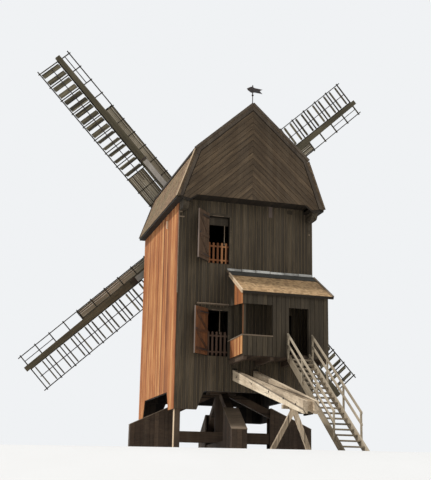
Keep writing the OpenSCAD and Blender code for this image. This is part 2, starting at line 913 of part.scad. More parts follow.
module door_rails() {
    color(orange_wood) {
        railing(low_door_x, low_door_w, low_door_z, low_rail_h);
        railing(up_door_x, up_door_w, up_door_z, up_rail_h);
    }
}

// Drip board over the lower opening, and the guard that hangs under the gable
module rear_trim() {
    color(dark_wood) {
        span([low_door_x - ledge_past, -hy - ledge_out, ledge_z - ledge_h],
             [porch_x0 - porch_t, -hy, ledge_z]);
        span([guard_x, -hy - trim_t, guard_z], [guard_x + guard_w, -hy, gable_z]);
    }
}

module porch_floor() {
    step = (porch_x1 - porch_x0 - porch_joist_w) / (porch_joists - 1);
    color(dark_wood) {
        span([porch_x0, porch_post_y, porch_beam_z], [porch_x1, -hy, floor_z]);
        for (k = [0:porch_joists - 1])
            translate([porch_x0 + k * step, 0, 0])
                span([0, porch_post_y + fit, porch_beam_z - porch_joist_h],
                     [porch_joist_w, -hy, porch_beam_z]);
    }
}

module porch_frame() {
    y1 = porch_post_y + porch_post;
    color(dark_wood) {
        for (x = [porch_x0, bay_x1, entry_x - porch_post, entry_x + entry_w, porch_x1 - porch_post])
            span([x, porch_post_y, floor_z], [x + porch_post, y1, header_top - header_h]);
        span([porch_x0, porch_post_y, header_top - header_h], [porch_x1, y1, header_top]);
        for (x = [porch_x0, porch_x1 - porch_post])
            span([x, -hy - porch_post, floor_z], [x + porch_post, -hy, header_top]);
    }
}

module porch_front() {
    foot = porch_beam_z - plank_t;
    bay_h = fascia_z - floor_z - parapet_h;
    color(dark_wood)
        along_y(porch_y, porch_post_y)
            difference() {
                polygon([[porch_x0, foot], [porch_x1, foot], [porch_x1, porch_seat(porch_y)],
                         [porch_x0, porch_seat(porch_y)]]);
                translate([porch_x0 - 1, floor_z + parapet_h])
                    square([bay_x1 - porch_x0 + 1, bay_h]);
                translate([entry_x, foot - 1]) square([entry_w, floor_z + entry_h - foot + 1]);
            }
}

// Boarded right side; on the left a parapet below and a panel above
module porch_sides() {
    color(orange_wood) {
        along_x(porch_x0 - porch_t, porch_x0)
            polygon([[-hy, ledge_z - ledge_h], [porch_y, fascia_z], [porch_y, porch_seat(porch_y)],
                     [-hy, porch_seat(-hy)]]);
        span([porch_x0 - porch_t, porch_y, porch_beam_z], [porch_x0, -hy, floor_z + parapet_h]);
    }
    color(dark_wood)
        along_x(porch_x1, porch_x1 + porch_t)
            polygon([[-hy, porch_beam_z], [porch_y, porch_beam_z], [porch_y, porch_seat(porch_y)],
                     [-hy, porch_seat(-hy)]]);
}

module porch_roof() {
    color(shingle)
        along_x(porch_x0 - porch_t - porch_left_over, porch_x1 + porch_t + porch_right_over)
            polygon([[-hy, porch_top(-hy)], [porch_eave_y, porch_eave_z],
                     [porch_eave_y + roof_t * sin(a_porch), porch_eave_z - roof_t * cos(a_porch)],
                     [-hy, porch_under(-hy)]]);
}

// The stair starts at the porch front and ends just above the ground
module stair_stringers() {
    y0 = stair_foot_y - 2 * stringer_v;
    z0 = stair_z(y0) + stringer_up;
    z1 = stair_z(porch_y) + stringer_up;
    color(pale_wood)
        for (x = [entry_x - stringer_t, entry_x + entry_w])
            intersection() {
                along_x(x, x + stringer_t)
                    polygon([[porch_y - fit, z1], [y0, z0], [y0, z0 - stringer_v],
                             [porch_y - fit, z1 - stringer_v]]);
                span([0, y0, running_gap], [hx, porch_y, floor_z + stringer_up]);
            }
}

module stair_treads() {
    color(pale_wood)
        for (i = [1:steps - 1])
            translate([0, porch_y - i * stair_run, floor_z - i * rise])
                span([entry_x, -tread_lap, -tread_t],
                     [entry_x + entry_w, stair_run - tread_lap, 0]);
}

// Posts on the outside of the stringers, with a hand rail and a knee rail
module stair_rails() {
    y1 = porch_y - hand_head;
    y0 = stair_foot_y + hand_foot;
    color(pale_wood)
        for (x = [entry_x - stringer_t - hand_s, entry_x + entry_w + stringer_t]) {
            for (k = [0:hand_posts - 1]) {
                y = y1 + k * (y0 - y1) / (hand_posts - 1);
                z = stair_z(y);
                span([x, y - hand_s / 2, z - hand_rail_h], [x + hand_s, y + hand_s / 2, z + hand_h]);
            }
            for (h = [hand_h - hand_rail_h / 2, hand_h / 2]) {
                z1 = stair_z(y1 + hand_s) + h;
                z0 = stair_z(y0 - hand_s) + h;
                along_x(x, x + hand_s)
                    polygon([[y1 + hand_s, z1], [y0 - hand_s, z0], [y0 - hand_s, z0 + hand_rail_h],
                             [y1 + hand_s, z1 + hand_rail_h]]);
            }
        }
}

// The plane of a tail beam, turned towards the other one
module on_tail() {
    translate([tail_x0, -hy, 0]) rotate([0, 0, -tail_plan]) translate([0, hy, 0]) children();
}

// Two boards that close in on each other towards the tail
module tail_one(grow) {
    y0 = -in_y + tail_t;
    y1 = -hy - tail_len;
    on_tail()
        along_x(-tail_t / 2 - grow, tail_t / 2 + grow)
            polygon([[y0, tail_z(y0) + grow], [y1, tail_z(y1) + grow],
                     [y1, tail_z(y1) - tail_v - grow], [y0, tail_z(y0) - tail_v - grow]]);
}

module tail_pair(grow) {
    both_sides() tail_one(grow);
}

module tail_beams() {
    color(pale_wood) {
        difference() {
            tail_pair(0);
            span([-hx, -in_y + fit, 0], [hx, hy, hub_z]);
        }
        // block bolted between the two boards at the tail
        y = -hy - tail_len + tail_block;
        z = tail_z(y);
        span([-tail_end_x, y, z - tail_h + 50], [tail_end_x, y + tail_block, z - 50]);
    }
}

// Height of the tail beams' underside at y, at its lowest across a beam
function under_tail(y) =
    tail_z(-hy + (y + hy) / cos(tail_plan)) - tail_v - fit
    - tail_t / 2 * sin(tail_plan) * tan(tail_slope);

// Two struts that meet under a cross-head below the tail beams
module tail_prop() {
    y0 = -hy - tail_prop_out - tail_prop_s / 2;
    y1 = y0 + tail_prop_s;
    head_z = under_tail(y0) - prop_head_h;
    head_x = tail_x0 - tail_prop_out * tan(tail_plan) + tail_t;
    color(pale_wood) {
        along_x(-head_x, head_x)
            polygon([[y0, head_z], [y1, head_z], [y1, under_tail(y1)], [y0, under_tail(y0)]]);
        along_y(y0, y1) {
            prop_leg(prop_right_x, head_z);
            mirror([1, 0]) prop_leg(prop_left_x, head_z);
        }
    }
}

// Outline of a leg from the ground to the middle of the cross-head
module prop_leg(foot_x, head_z) {
    lean = atan2(foot_x, head_z - running_gap);
    half = tail_prop_s / 2 / cos(lean);
    top = prop_head_h / 2;
    x = -top * tan(lean);
    polygon([[foot_x - half, running_gap], [foot_x + half, running_gap], [x + half, head_z + top],
             [x - half, head_z + top]]);
}

// The pole's foot sits on the two slopes at the ridge
module vane_pole() {
    color(iron) {
        difference() {
            translate([0, vane_y, ridge_z - pole_d]) cylinder(h = pole_h + pole_d, d = pole_d, $fn = 24);
            along_y(roof_y0, 0)
                polygon([[0, ridge_z + fit], [-roof_break_x, break_z + fit],
                         [roof_break_x, break_z + fit]]);
        }
        translate([0, vane_y, ridge_z + pole_h * 0.48]) sphere(d = ball_d, $fn = 32);
    }
}

// A swallow-tailed plate that turns on a sleeve round the pole
module vane() {
    l = vane_len;
    h = vane_h;
    color(iron)
        difference() {
            union() {
                translate([0, vane_y, 0])
                    along_y(-vane_t / 2, vane_t / 2)
                        translate([0, vane_z])
                            polygon([[-0.10 * l, 0.11 * h], [-0.28 * l, 0.33 * h],
                                     [-0.36 * l, 0.53 * h], [-0.28 * l, 0.64 * h],
                                     [-0.10 * l, 0.83 * h], [0, 0.83 * h], [0.10 * l, 0.72 * h],
                                     [0.60 * l, 0.64 * h], [0.44 * l, 0.42 * h],
                                     [0.60 * l, 0.11 * h], [0.10 * l, 0.17 * h], [0, 0.11 * h]]);
                translate([0, vane_y, vane_z]) cylinder(h = vane_h - 20, d = sleeve_d, $fn = 32);
            }
            translate([0, vane_y, vane_z - 1]) cylinder(h = vane_h, d = pole_d + 2 * fit, $fn = 32);
        }
}

module windshaft() {
    color(dark_wood)
        on_shaft()
            difference() {
                union() {
                    translate([-poll_w / 2, -poll_w / 2, -poll_len / 2])
                        cube([poll_w, poll_w, poll_len]);
                    cylinder(h = shaft_len, d = shaft_d);
                }
                for (s = [0, 1])
                    translate([0, 0, sail_z[s]])
                        rotate([0, 0, sail_turn[s]])
                            cube([2 * poll_w, stock_w + 2 * fit, stock_t + 2 * fit], center = true);
            }
}

// Half of a stock that tapers both ways, with its doubling plank at the back
module stock_half() {
    intersection() {
        linear_extrude(2 * stock_t, center = true)
            polygon([[0, -stock_w / 2], [poll_w, -stock_w / 2], [sail_r, -stock_tip_w / 2],
                     [sail_r, stock_tip_w / 2], [poll_w, stock_w / 2], [0, stock_w / 2]]);
        rotate([90, 0, 0])
            linear_extrude(2 * stock_w, center = true)
                polygon([[0, -stock_t / 2], [poll_w, -stock_t / 2], [sail_r, -stock_tip_t / 2],
                         [sail_r, stock_tip_t / 2], [poll_w, stock_t / 2], [0, stock_t / 2]]);
    }
    translate([poll_w * 0.75, -stock_w / 2 + cheek_in, 0])
        rotate([0, -atan2(stock_tip_t - stock_t, 2 * (sail_r - poll_w)), 0])
            cube([cheek_r - poll_w, stock_w - 2 * cheek_in, stock_t / 2 + cheek_t]);
}

module stock(s) {
    color(sail_wood)
        on_shaft()
            translate([0, 0, sail_z[s]])
                rotate([0, 0, sail_turn[s]]) {
                    stock_half();
                    rotate([0, 0, 180]) stock_half();
                }
}

module stock_a() {
    stock(0);
}

module stock_b() {
    stock(1);
}

module on_sail(s) {
    on_shaft() translate([0, 0, sail_z[s]]) rotate([0, 0, sail_turn[s]]) children();
}

// Half width of the stock at distance r
function stock_half_w(r) =
    (stock_w + (stock_tip_w - stock_w) * (r - poll_w) / (sail_r - poll_w)) / 2;

// A straight lath along the sail from r0 to r1, at side distances v0 and v1 there
module lath(v0, v1, r0, r1, w, t) {
    run = norm([r1 - r0, v1 - v0]);
    rise = v1 * tan_pitch(r1) - v0 * tan_pitch(r0);
    translate([r0, v0, v0 * tan_pitch(r0)])
        rotate([0, -atan2(rise, run), atan2(v1 - v0, r1 - r0)])
            translate([0, -w / 2, -t / 2]) cube([norm([run, rise]), w, t]);
}

// A lath that keeps its distance from the middle of the stock
module even_lath(v, r0, r1, w, t) {
    lath(v, v, r0, r1, w, t);
}

// Bars through the stock, hem laths, shutter rails and the boards near the shaft
module sail(s) {
    out_r = bar_r0 + tip_past;
    rail_r0 = bar_r(shutter_bays);
    color(sail_wood)
        on_sail(s)
            difference() {
                union() {
                    for (i = [0:bays])
                        translate([bar_r(i), 0, 0])
                            rotate([atan(tan_pitch(bar_r(i))), 0, 0])
                                span([-bar_t / 2, -lead_w - bar_past, -bar_h / 2],
                                     [bar_t / 2, trail_w + bar_past, bar_h / 2]);
                    even_lath(trail_w - lath_t / 2, heel_end_r, out_r, lath_t, lath_t);
                    even_lath(-lead_w + lath_t / 2, heel_end_r, out_r, lath_t, lath_t);
                    even_lath(-lead_w / 2, bar_r(thin_bays), bar_r0, thin_lath, thin_lath);
                    lath(stock_half_w(rail_r0) + lath_t / 2 - fit,
                         stock_half_w(bar_r0) + lath_t / 2 - fit, rail_r0, bar_r0, lath_t, rail_t);
                    board_set();
                }
                stock_room();
            }
}

// Long boards: on the leading side up to the stock, and on the inner bays of the wide side
module board_set() {
    lead_r = bar_r(bare_bays) + bar_h;
    w_lead = (lead_w - lath_t - stock_half_w(lead_r)) / side_boards;
    trail_v = stock_w / 2 + heel_gap;
    w_trail = (trail_w - lath_t - trail_v) / side_boards;
    for (k = [0:side_boards - 1]) {
        even_lath(-lead_w + lath_t + (k + 0.5) * w_lead, heel_end_r, lead_r,
                  w_lead - side_board_gap, side_board_t);
        even_lath(trail_v + (k + 0.5) * w_trail, heel_end_r, bar_r(shutter_bays),
                  w_trail - side_board_gap, side_board_t);
    }
}

// Room for the stock where the bars pass through it
module stock_room() {
    intersection() {
        linear_extrude(4 * stock_t, center = true)
            polygon([[0, -stock_w / 2], [poll_w, -stock_w / 2], [sail_r, -stock_tip_w / 2],
                     [sail_r, stock_tip_w / 2], [poll_w, stock_w / 2], [0, stock_w / 2]]);
        translate([0, -stock_w, -stock_t]) cube([sail_r, 2 * stock_w, 2 * stock_t]);
    }
}

// Shutters on pins between the shutter rail and the hem lath, two in a bay
module shutters(s) {
    v1 = trail_w - lath_t - fit;
    color(sail_wood)
        on_sail(s)
            for (i = [0:shutter_bays - 1])
                for (h = [0.25, 0.75]) {
                    r = bar_r(i) - h * bar_step;
                    v0 = stock_half_w(r - shutter_w / 2) + lath_t + fit;
                    tilt = i < outer_bays ? outer_tilt[s] : inner_tilt[s];
                    translate([r, 0, 0])
                        intersection() {
                            rotate([atan(tan_pitch(r)), 0, 0]) {
                                rotate([0, tilt, 0])
                                    span([-shutter_w / 2, v0 + shutter_gap, -shutter_t / 2],
                                         [shutter_w / 2, v1 - shutter_gap, shutter_t / 2]);
                                translate([0, v1 + shutter_gap, 0])
                                    rotate([90, 0, 0])
                                        cylinder(h = v1 - v0 + 2 * shutter_gap, d = shutter_pin_d,
                                                 $fn = 8);
                            }
                            span([-shutter_w, v0, -shutter_w], [shutter_w, v1, 2 * shutter_w]);
                        }
                }
}

module sail_1() {
    sail(0);
}
module sail_2() {
    sail(1);
}
module sail_3() {
    sail(2);
}
module sail_4() {
    sail(3);
}
module shutters_1() {
    shutters(0);
}
module shutters_2() {
    shutters(1);
}
module shutters_3() {
    shutters(2);
}
module shutters_4() {
    shutters(3);
}

piers();
cross_tree_lower();
cross_tree_upper();
quarter_bars();
arm_casings();
post();
saddle();
corner_prop();
floor_beams();
lower_floor();
upper_floor();
crown_frame();
corner_posts();
rear_wall();
front_wall();
left_wall();
right_wall();
corner_skirts();
wall_plates();
soffits();
rear_gable();
roof_lower();
roof_upper();
barge_boards();
shaft_bearers();
lower_door();
upper_door();
door_rails();
rear_trim();
porch_floor();
porch_frame();
porch_front();
porch_sides();
porch_roof();
stair_stringers();
stair_treads();
stair_rails();
tail_beams();
tail_prop();
vane_pole();
windshaft();
stock_a();
stock_b();
sail_1();
sail_2();
sail_3();
sail_4();
shutters_1();
shutters_2();
shutters_3();
shutters_4();
vane();
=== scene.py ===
import logging
import math
import random
from dataclasses import dataclass, field
from enum import Enum
from functools import lru_cache

import bmesh
import bpy
from mathutils import Matrix, Vector


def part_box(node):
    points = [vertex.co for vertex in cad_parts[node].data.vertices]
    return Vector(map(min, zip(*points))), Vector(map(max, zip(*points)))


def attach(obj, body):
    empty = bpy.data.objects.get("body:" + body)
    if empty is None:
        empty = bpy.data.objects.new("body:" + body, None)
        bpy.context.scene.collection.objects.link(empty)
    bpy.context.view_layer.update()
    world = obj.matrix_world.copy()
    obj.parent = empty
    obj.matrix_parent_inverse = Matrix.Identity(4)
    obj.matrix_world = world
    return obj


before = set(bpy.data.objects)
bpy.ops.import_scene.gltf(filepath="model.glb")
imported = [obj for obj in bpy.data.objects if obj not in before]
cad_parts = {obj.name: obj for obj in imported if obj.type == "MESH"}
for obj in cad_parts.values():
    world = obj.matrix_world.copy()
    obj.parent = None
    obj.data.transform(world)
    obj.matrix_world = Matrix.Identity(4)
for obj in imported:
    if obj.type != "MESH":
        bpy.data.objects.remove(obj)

log = logging.getLogger("post_mill")

Colour = tuple[float, float, float, float]
Triple = tuple[float, float, float]
Plane = tuple[Vector, Vector]
Span = tuple[float, float]
Point = Triple | Vector
Paint = tuple[int, int, int]
Socket = bpy.types.NodeSocket
Material = bpy.types.Material

TONE = "tone"
RIGHT = Vector((1, 0, 0))
LEFT = Vector((-1, 0, 0))
FRONT = Vector((0, 1, 0))
REAR = Vector((0, -1, 0))
UP = Vector((0, 0, 1))
DOWN = Vector((0, 0, -1))
FINE_ROUNDING = 0.002
ROUNDING = 0.003
BROAD_ROUNDING = 0.004


def colour(red: int, green: int, blue: int) -> Colour:
    """Turns a screen colour into linear light.

    Args:
        red: Red from 0 to 255.
        green: Green from 0 to 255.
        blue: Blue from 0 to 255.

    Returns:
        The colour with an alpha of 1.
    """
    parts = []
    for part in (red, green, blue):
        share = part / 255
        parts.append(share / 12.92 if share <= 0.04045 else ((share + 0.055) / 1.055) ** 2.4)
    return (*parts, 1.0)


class Run(Enum):
    """The direction in which the grain of a timber runs."""

    ACROSS = (1.0, 0.0, 0.0)
    DEEP = (0.0, 1.0, 0.0)
    UP = (0.0, 0.0, 1.0)


class Slot(Enum):
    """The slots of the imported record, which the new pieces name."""

    TRESTLE = "trestle_timber"
    DARK = "dark_boards"
    FRAME = "frame_timber"
    ORANGE = "orange_boards"
    SHINGLES = "shingles"
    PALE = "pale_timber"
    SAIL = "sail_timber"
    IRON = "iron"


class Body(Enum):
    """The bodies that pieces ride on."""

    TRESTLE = "trestle"
    MILL = "body"
    SAILS = "sails"


class Graph:
    """Adds shader nodes to a tree and joins them."""

    def __init__(self, tree: bpy.types.NodeTree) -> None:
        """Keeps the tree that the nodes are added to."""
        self.tree = tree

    def add(self, kind: str, **settings: object) -> bpy.types.Node:
        """Adds a node.

        Args:
            kind: The node's type name.
            **settings: Values for the node's own properties.

        Returns:
            The new node.
        """
        node = self.tree.nodes.new(kind)
        for name, value in settings.items():
            setattr(node, name, value)
        return node

    def feed(self, socket: Socket, value: object) -> None:
        """Joins a socket to another one, or gives it a value.

        Args:
            socket: The input socket.
            value: An output socket, a number, a vector or a colour.
        """
        if isinstance(value, Socket):
            self.tree.links.new(value, socket)
        else:
            socket.default_value = value

    def math(self, operation: str, *values: object, clamp: bool = False) -> Socket:
        """Adds a Math node.

        Args:
            operation: The operation's name.
            *values: Up to three sockets or numbers.
            clamp: Whether the result is held between 0 and 1.

        Returns:
            The result.
        """
        node = self.add("ShaderNodeMath", operation=operation, use_clamp=clamp)
        for socket, value in zip(node.inputs, values):
            self.feed(socket, value)
        return node.outputs[0]

    def scaled(self, vector: object, by: Triple) -> Socket:
        """Multiplies a vector by three factors.

        Args:
            vector: The vector's socket.
            by: The factors.

        Returns:
            The product.
        """
        node = self.add("ShaderNodeVectorMath", operation="MULTIPLY")
        self.feed(node.inputs[0], vector)
        node.inputs[1].default_value = by
        return node.outputs[0]

    def split(self, vector: object) -> bpy.types.NodeOutputs:
        """Splits a vector in its three parts.

        Args:
            vector: The vector's socket.

        Returns:
            The sockets of its parts.
        """
        node = self.add("ShaderNodeSeparateXYZ")
        self.feed(node.inputs[0], vector)
        return node.outputs

    def noise(self, vector: object, scale: float, detail: float = 3.0,
              shift: object = 0.0) -> Socket:
        """Adds a noise that a fourth coordinate shifts.

        Args:
            vector: Where the noise is read.
            scale: Its scale.
            detail: Its number of octaves.
            shift: The fourth coordinate.

        Returns:
            The noise, mostly from 0.3 to 0.7.
        """
        node = self.add("ShaderNodeTexNoise", noise_dimensions="4D")
        self.feed(node.inputs["Vector"], vector)
        self.feed(node.inputs["W"], shift)
        node.inputs["Scale"].default_value = scale
        node.inputs["Detail"].default_value = detail
        return node.outputs["Fac"]

    def rise(self, value: object, low: float, high: float, end: float = 1.0) -> Socket:
        """Maps a stretch of values to 0 to an end, held at both ends.

        Args:
            value: The value.
            low: The value that gives 0.
            high: The value that gives the end.
            end: The highest result.

        Returns:
            The result.
        """
        node = self.add("ShaderNodeMapRange", clamp=True)
        for socket, number in zip(node.inputs, (value, low, high, 0.0, end)):
            self.feed(socket, number)
        return node.outputs[0]

    def mix(self, share: object, first: object, second: object, blend: str = "MIX") -> Socket:
        """Mixes two colours.

        Args:
            share: How much of the second colour shows.
            first: The first colour.
            second: The second colour.
            blend: The way of mixing.

        Returns:
            The mixed colour.
        """
        node = self.add("ShaderNodeMix", data_type="RGBA", blend_type=blend)
        self.feed(node.inputs[0], share)
        self.feed(node.inputs[6], first)
        self.feed(node.inputs[7], second)
        return node.outputs[2]

    def ramp(self, value: object, stops: tuple[tuple[float, Paint], ...]) -> Socket:
        """Turns a value into a colour.

        Args:
            value: The value.
            stops: The place and colour of each stop.

        Returns:
            The colour.
        """
        node = self.add("ShaderNodeValToRGB")
        marks = node.color_ramp.elements
        while len(marks) < len(stops):
            marks.new(0.5)
        for mark, (place, shade) in zip(marks, stops):
            mark.position = place
            mark.color = colour(*shade)
        self.feed(node.inputs[0], value)
        return node.outputs[0]


class Effects:
    """Shader node groups that more than one finish uses, with their scales per metre."""

    fibres: Triple = (3.0, 85.0, 85.0)
    figure: Triple = (0.7, 11.0, 11.0)
    patches: Triple = (0.55, 1.1, 1.1)
    cracks: Triple = (1.3, 42.0, 42.0)
    streaks: Triple = (5.0, 5.0, 0.28)
    blotches: Triple = (0.8, 0.8, 0.6)
    tone_shift: float = 37.0
    fibre_share: float = 0.45
    crack_depth: float = 0.5
    seam_share: float = 0.035

    def __init__(self) -> None:
        """Builds the groups once."""
        self.grain = self._grain()
        self.planks = self._planks()
        self.weather = self._weather()

    @staticmethod
    def _group(name: str, inputs: dict[str, str], outputs: tuple[str, ...]) -> tuple:
        """Starts a group.

        Args:
            name: The group's name.
            inputs: The socket type of each input, by its name.
            outputs: The names of its outputs, all of them values.

        Returns:
            The group, its graph, its input node and its output node.
        """
        tree = bpy.data.node_groups.new(name, "ShaderNodeTree")
        for label, kind in inputs.items():
            tree.interface.new_socket(label, in_out="INPUT", socket_type=kind)
        for label in outputs:
            tree.interface.new_socket(label, in_out="OUTPUT", socket_type="NodeSocketFloat")
        graph = Graph(tree)
        return tree, graph, graph.add("NodeGroupInput"), graph.add("NodeGroupOutput")

    def _grain(self) -> bpy.types.NodeTree:
        """Builds fibres, patches and cracks that run along the vector's X.

        Returns:
            The group.
        """
        tree, graph, source, out = self._group(
            "Timber grain",
            {"Vector": "NodeSocketVector", "Tone": "NodeSocketFloat"},
            ("Fibre", "Patch", "Crack", "Height"))
        place = source.outputs["Vector"]
        shift = graph.math("MULTIPLY", source.outputs["Tone"], self.tone_shift)
        fine = graph.noise(graph.scaled(place, self.fibres), 1.0, 2.0, shift)
        broad = graph.noise(graph.scaled(place, self.figure), 1.0, 3.0, shift)
        fibre = graph.math("ADD", graph.math("MULTIPLY", fine, self.fibre_share),
                           graph.math("MULTIPLY", broad, 1.0 - self.fibre_share))
        patch = graph.noise(graph.scaled(place, self.patches), 1.0, 4.0)
        split = graph.noise(graph.scaled(place, self.cracks), 1.0, 1.0, shift)
        crack = graph.rise(split, 0.66, 0.72)
        height = graph.math("SUBTRACT", fibre, graph.math("MULTIPLY", crack, self.crack_depth))
        for name, value in (("Fibre", fibre), ("Patch", patch), ("Crack", crack),
                            ("Height", height)):
            graph.feed(out.inputs[name], value)
        return tree

    def _planks(self) -> bpy.types.NodeTree:
        """Builds a tone and a dark seam for planks that run along X, side by side along Y.

        Returns:
            The group.
        """
        tree, graph, source, out = self._group(
            "Plank tone",
            {"Vector": "NodeSocketVector", "Width": "NodeSocketFloat"},
            ("Tone", "Seam"))
        rows = graph.math("DIVIDE", graph.split(source.outputs["Vector"])[1],
                          source.outputs["Width"])
        noise = graph.add("ShaderNodeTexWhiteNoise", noise_dimensions="1D")
        graph.feed(noise.inputs["W"], graph.math("FLOOR", rows))
        graph.feed(out.inputs["Tone"], noise.outputs["Value"])
        edge = graph.math("PINGPONG", rows, 0.5)
        graph.feed(out.inputs["Seam"], graph.math("LESS_THAN", edge, self.seam_share))
        return tree

    def _weather(self) -> bpy.types.NodeTree:
        """Builds upright streaks of rain and broad blotches.

        Returns:
            The group.
        """
        tree, graph, source, out = self._group(
            "Weathering", {"Vector": "NodeSocketVector"}, ("Streak", "Blotch"))
        place = source.outputs["Vector"]
        streak = graph.noise(graph.scaled(place, self.streaks), 1.0, 4.0)
        blotch = graph.noise(graph.scaled(place, self.blotches), 1.0, 5.0)
        graph.feed(out.inputs["Streak"], graph.rise(streak, 0.45, 0.68))
        graph.feed(out.inputs["Blotch"], graph.rise(blotch, 0.42, 0.66))
        return tree


EFFECTS = Effects()


class Surface:
    """One material, with its principled shader and its object coordinates."""

    relief_strength: float = 0.6

    def __init__(self, name: str) -> None:
        """Starts the material.

        Args:
            name: The material's name.
        """
        self.material = bpy.data.materials.new(name)
        self.material.use_nodes = True
        self.graph = Graph(self.material.node_tree)
        self.shader = self.material.node_tree.nodes["Principled BSDF"]
        self.place = self.graph.add("ShaderNodeTexCoord").outputs["Object"]

    def turned(self, run: Vector, across: Vector) -> Socket:
        """Turns the object coordinates.

        Args:
            run: The direction that comes to lie along X.
            across: The direction that comes to lie in the half plane of X and Y.

        Returns:
            The turned coordinates.
        """
        first = run.normalized()
        second = (across - first * first.dot(across)).normalized()
        turn = Matrix((first, second, first.cross(second)))
        node = self.graph.add("ShaderNodeMapping")
        node.inputs["Rotation"].default_value = turn.to_euler("XYZ")
        self.graph.feed(node.inputs["Vector"], self.place)
        return node.outputs["Vector"]

    def effect(self, group: bpy.types.NodeTree, **inputs: object) -> bpy.types.NodeOutputs:
        """Places a node group.

        Args:
            group: The group.
            **inputs: Its inputs by name.

        Returns:
            The group's outputs.
        """
        node = self.graph.add("ShaderNodeGroup", node_tree=group)
        for name, value in inputs.items():
            self.graph.feed(node.inputs[name], value)
        return node.outputs

    def feed(self, name: str, value: object) -> None:
        """Joins a socket of the shader to another one, or gives it a value."""
        self.graph.feed(self.shader.inputs[name], value)

    def tone(self) -> Socket:
        """Returns the tone that each board of a piece carries."""
        return self.graph.add("ShaderNodeAttribute", attribute_name=TONE).outputs["Fac"]

    def relief(self, height: object, depth: float) -> None:
        """Feeds the shader's normal from a height.

        Args:
            height: The height, from about 0 to 1.
            depth: What a height of 1 measures, in metres.
        """
        bump = self.graph.add("ShaderNodeBump")
        bump.inputs["Strength"].default_value = self.relief_strength
        bump.inputs["Distance"].default_value = depth
        self.graph.feed(bump.inputs["Height"], height)
        self.feed("Normal", bump.outputs["Normal"])


@dataclass(frozen=True)
class Timber:
    """A weathered timber finish in three tones."""

    label: str
    dark: Paint
    base: Paint
    light: Paint
    spread: float = 0.9
    grain: float = 1.3
    patch: float = 1.0
    crack: float = 0.6
    streak: float = 0.3
    streak_colour: Paint = (120, 108, 92)
    seam: float = 0.75
    roughness: float = 0.8
    roughness_spread: float = 0.25
    specular: float = 0.25
    depth: float = 0.004
    crack_tone: float = 0.35

    def material(self, run: Run | Vector, plank: float = 0.0,
                 across: Vector | None = None) -> Material:
        """Returns the finish, which is built once for each way of laying it.

        Args:
            run: The direction of the grain.
            plank: The width of the planks on a solid, or 0 on a piece whose boards carry tones.
            across: The direction in which planks lie side by side, or None for any.

        Returns:
            The material.
        """
        along = Vector(run.value) if isinstance(run, Run) else run
        return self._built(tuple(along), plank, tuple(across or Vector((1, 1, 1))))

    @lru_cache(maxsize=None)
    def _built(self, along: Triple, plank: float, across: Triple) -> Material:
        """Builds the finish.

        Args:
            along: The direction of the grain.
            plank: The width of the planks, or 0.
            across: The direction in which they lie side by side.

        Returns:
            The material.
        """
        surface = Surface(f"{self.label} {'planks' if plank else 'boards'}")
        graph = surface.graph
        place = surface.turned(Vector(along), Vector(across))
        seam = 0.0
        if plank:
            rows = surface.effect(EFFECTS.planks, Vector=place, Width=plank)
            tone = rows["Tone"]
            seam = graph.math("MULTIPLY", rows["Seam"], self.seam)
        else:
            tone = surface.tone()
        grain = surface.effect(EFFECTS.grain, Vector=place, Tone=tone)
        weather = surface.effect(EFFECTS.weather, Vector=surface.place)
        parts = [graph.math("MULTIPLY", graph.math("SUBTRACT", value, 0.5), share)
                 for value, share in ((tone, self.spread), (grain["Fibre"], self.grain),
                                      (grain["Patch"], self.patch))]
        shade = graph.math("ADD", graph.math("ADD", parts[0], parts[1]),
                           graph.math("ADD", parts[2], 0.5), clamp=True)
        paint = graph.ramp(shade, ((0.0, self.dark), (0.5, self.base), (1.0, self.light)))
        worn = graph.math("MULTIPLY", weather["Streak"], self.streak)
        paint = graph.mix(worn, paint, colour(*self.streak_colour))
        deep = tuple(part * self.crack_tone for part in colour(*self.dark)[:3]) + (1.0,)
        paint = graph.mix(graph.math("MULTIPLY", grain["Crack"], self.crack), paint, deep)
        paint = graph.mix(seam, paint, deep)
        surface.feed("Base Color", paint)
        rough = graph.math("MULTIPLY_ADD", grain["Fibre"], self.roughness_spread,
                           self.roughness - 0.12)
        surface.feed("Roughness", rough)
        surface.feed("Specular IOR Level", self.specular)
        surface.relief(graph.math("SUBTRACT", grain["Height"], seam), self.depth)
        return surface.material


@dataclass(frozen=True)
class Shingle:
    """Weathered wooden shingles with some moss."""

    label: str
    dark: Paint
    base: Paint
    light: Paint
    moss: Paint
    moss_share: float = 0.35
    tone_spread: float = 0.7
    fibre_spread: float = 0.6
    depth: float = 0.003

    def material(self, run: Vector) -> Material:
        """Builds the finish.

        Args:
            run: The direction of the grain, up the slope.

        Returns:
            The material.
        """
        surface = Surface(self.label)
        graph = surface.graph
        tone = surface.tone()
        place = surface.turned(run, FRONT if abs(run.x) > 0.1 else RIGHT)
        grain = surface.effect(EFFECTS.grain, Vector=place, Tone=tone)
        weather = surface.effect(EFFECTS.weather, Vector=surface.place)
        even = graph.math("MULTIPLY_ADD", tone, self.tone_spread, 0.5 - self.tone_spread / 2)
        fibre = graph.math("MULTIPLY", graph.math("SUBTRACT", grain["Fibre"], 0.5),
                           self.fibre_spread)
        shade = graph.math("ADD", even, fibre, clamp=True)
        paint = graph.ramp(shade, ((0.0, self.dark), (0.5, self.base), (1.0, self.light)))
        moss = graph.math("MULTIPLY", weather["Blotch"], self.moss_share)
        paint = graph.mix(moss, paint, colour(*self.moss))
        surface.feed("Base Color", paint)
        surface.feed("Roughness", graph.math("MULTIPLY_ADD", grain["Patch"], 0.2, 0.72))
        surface.relief(grain["Height"], self.depth)
        return surface.material


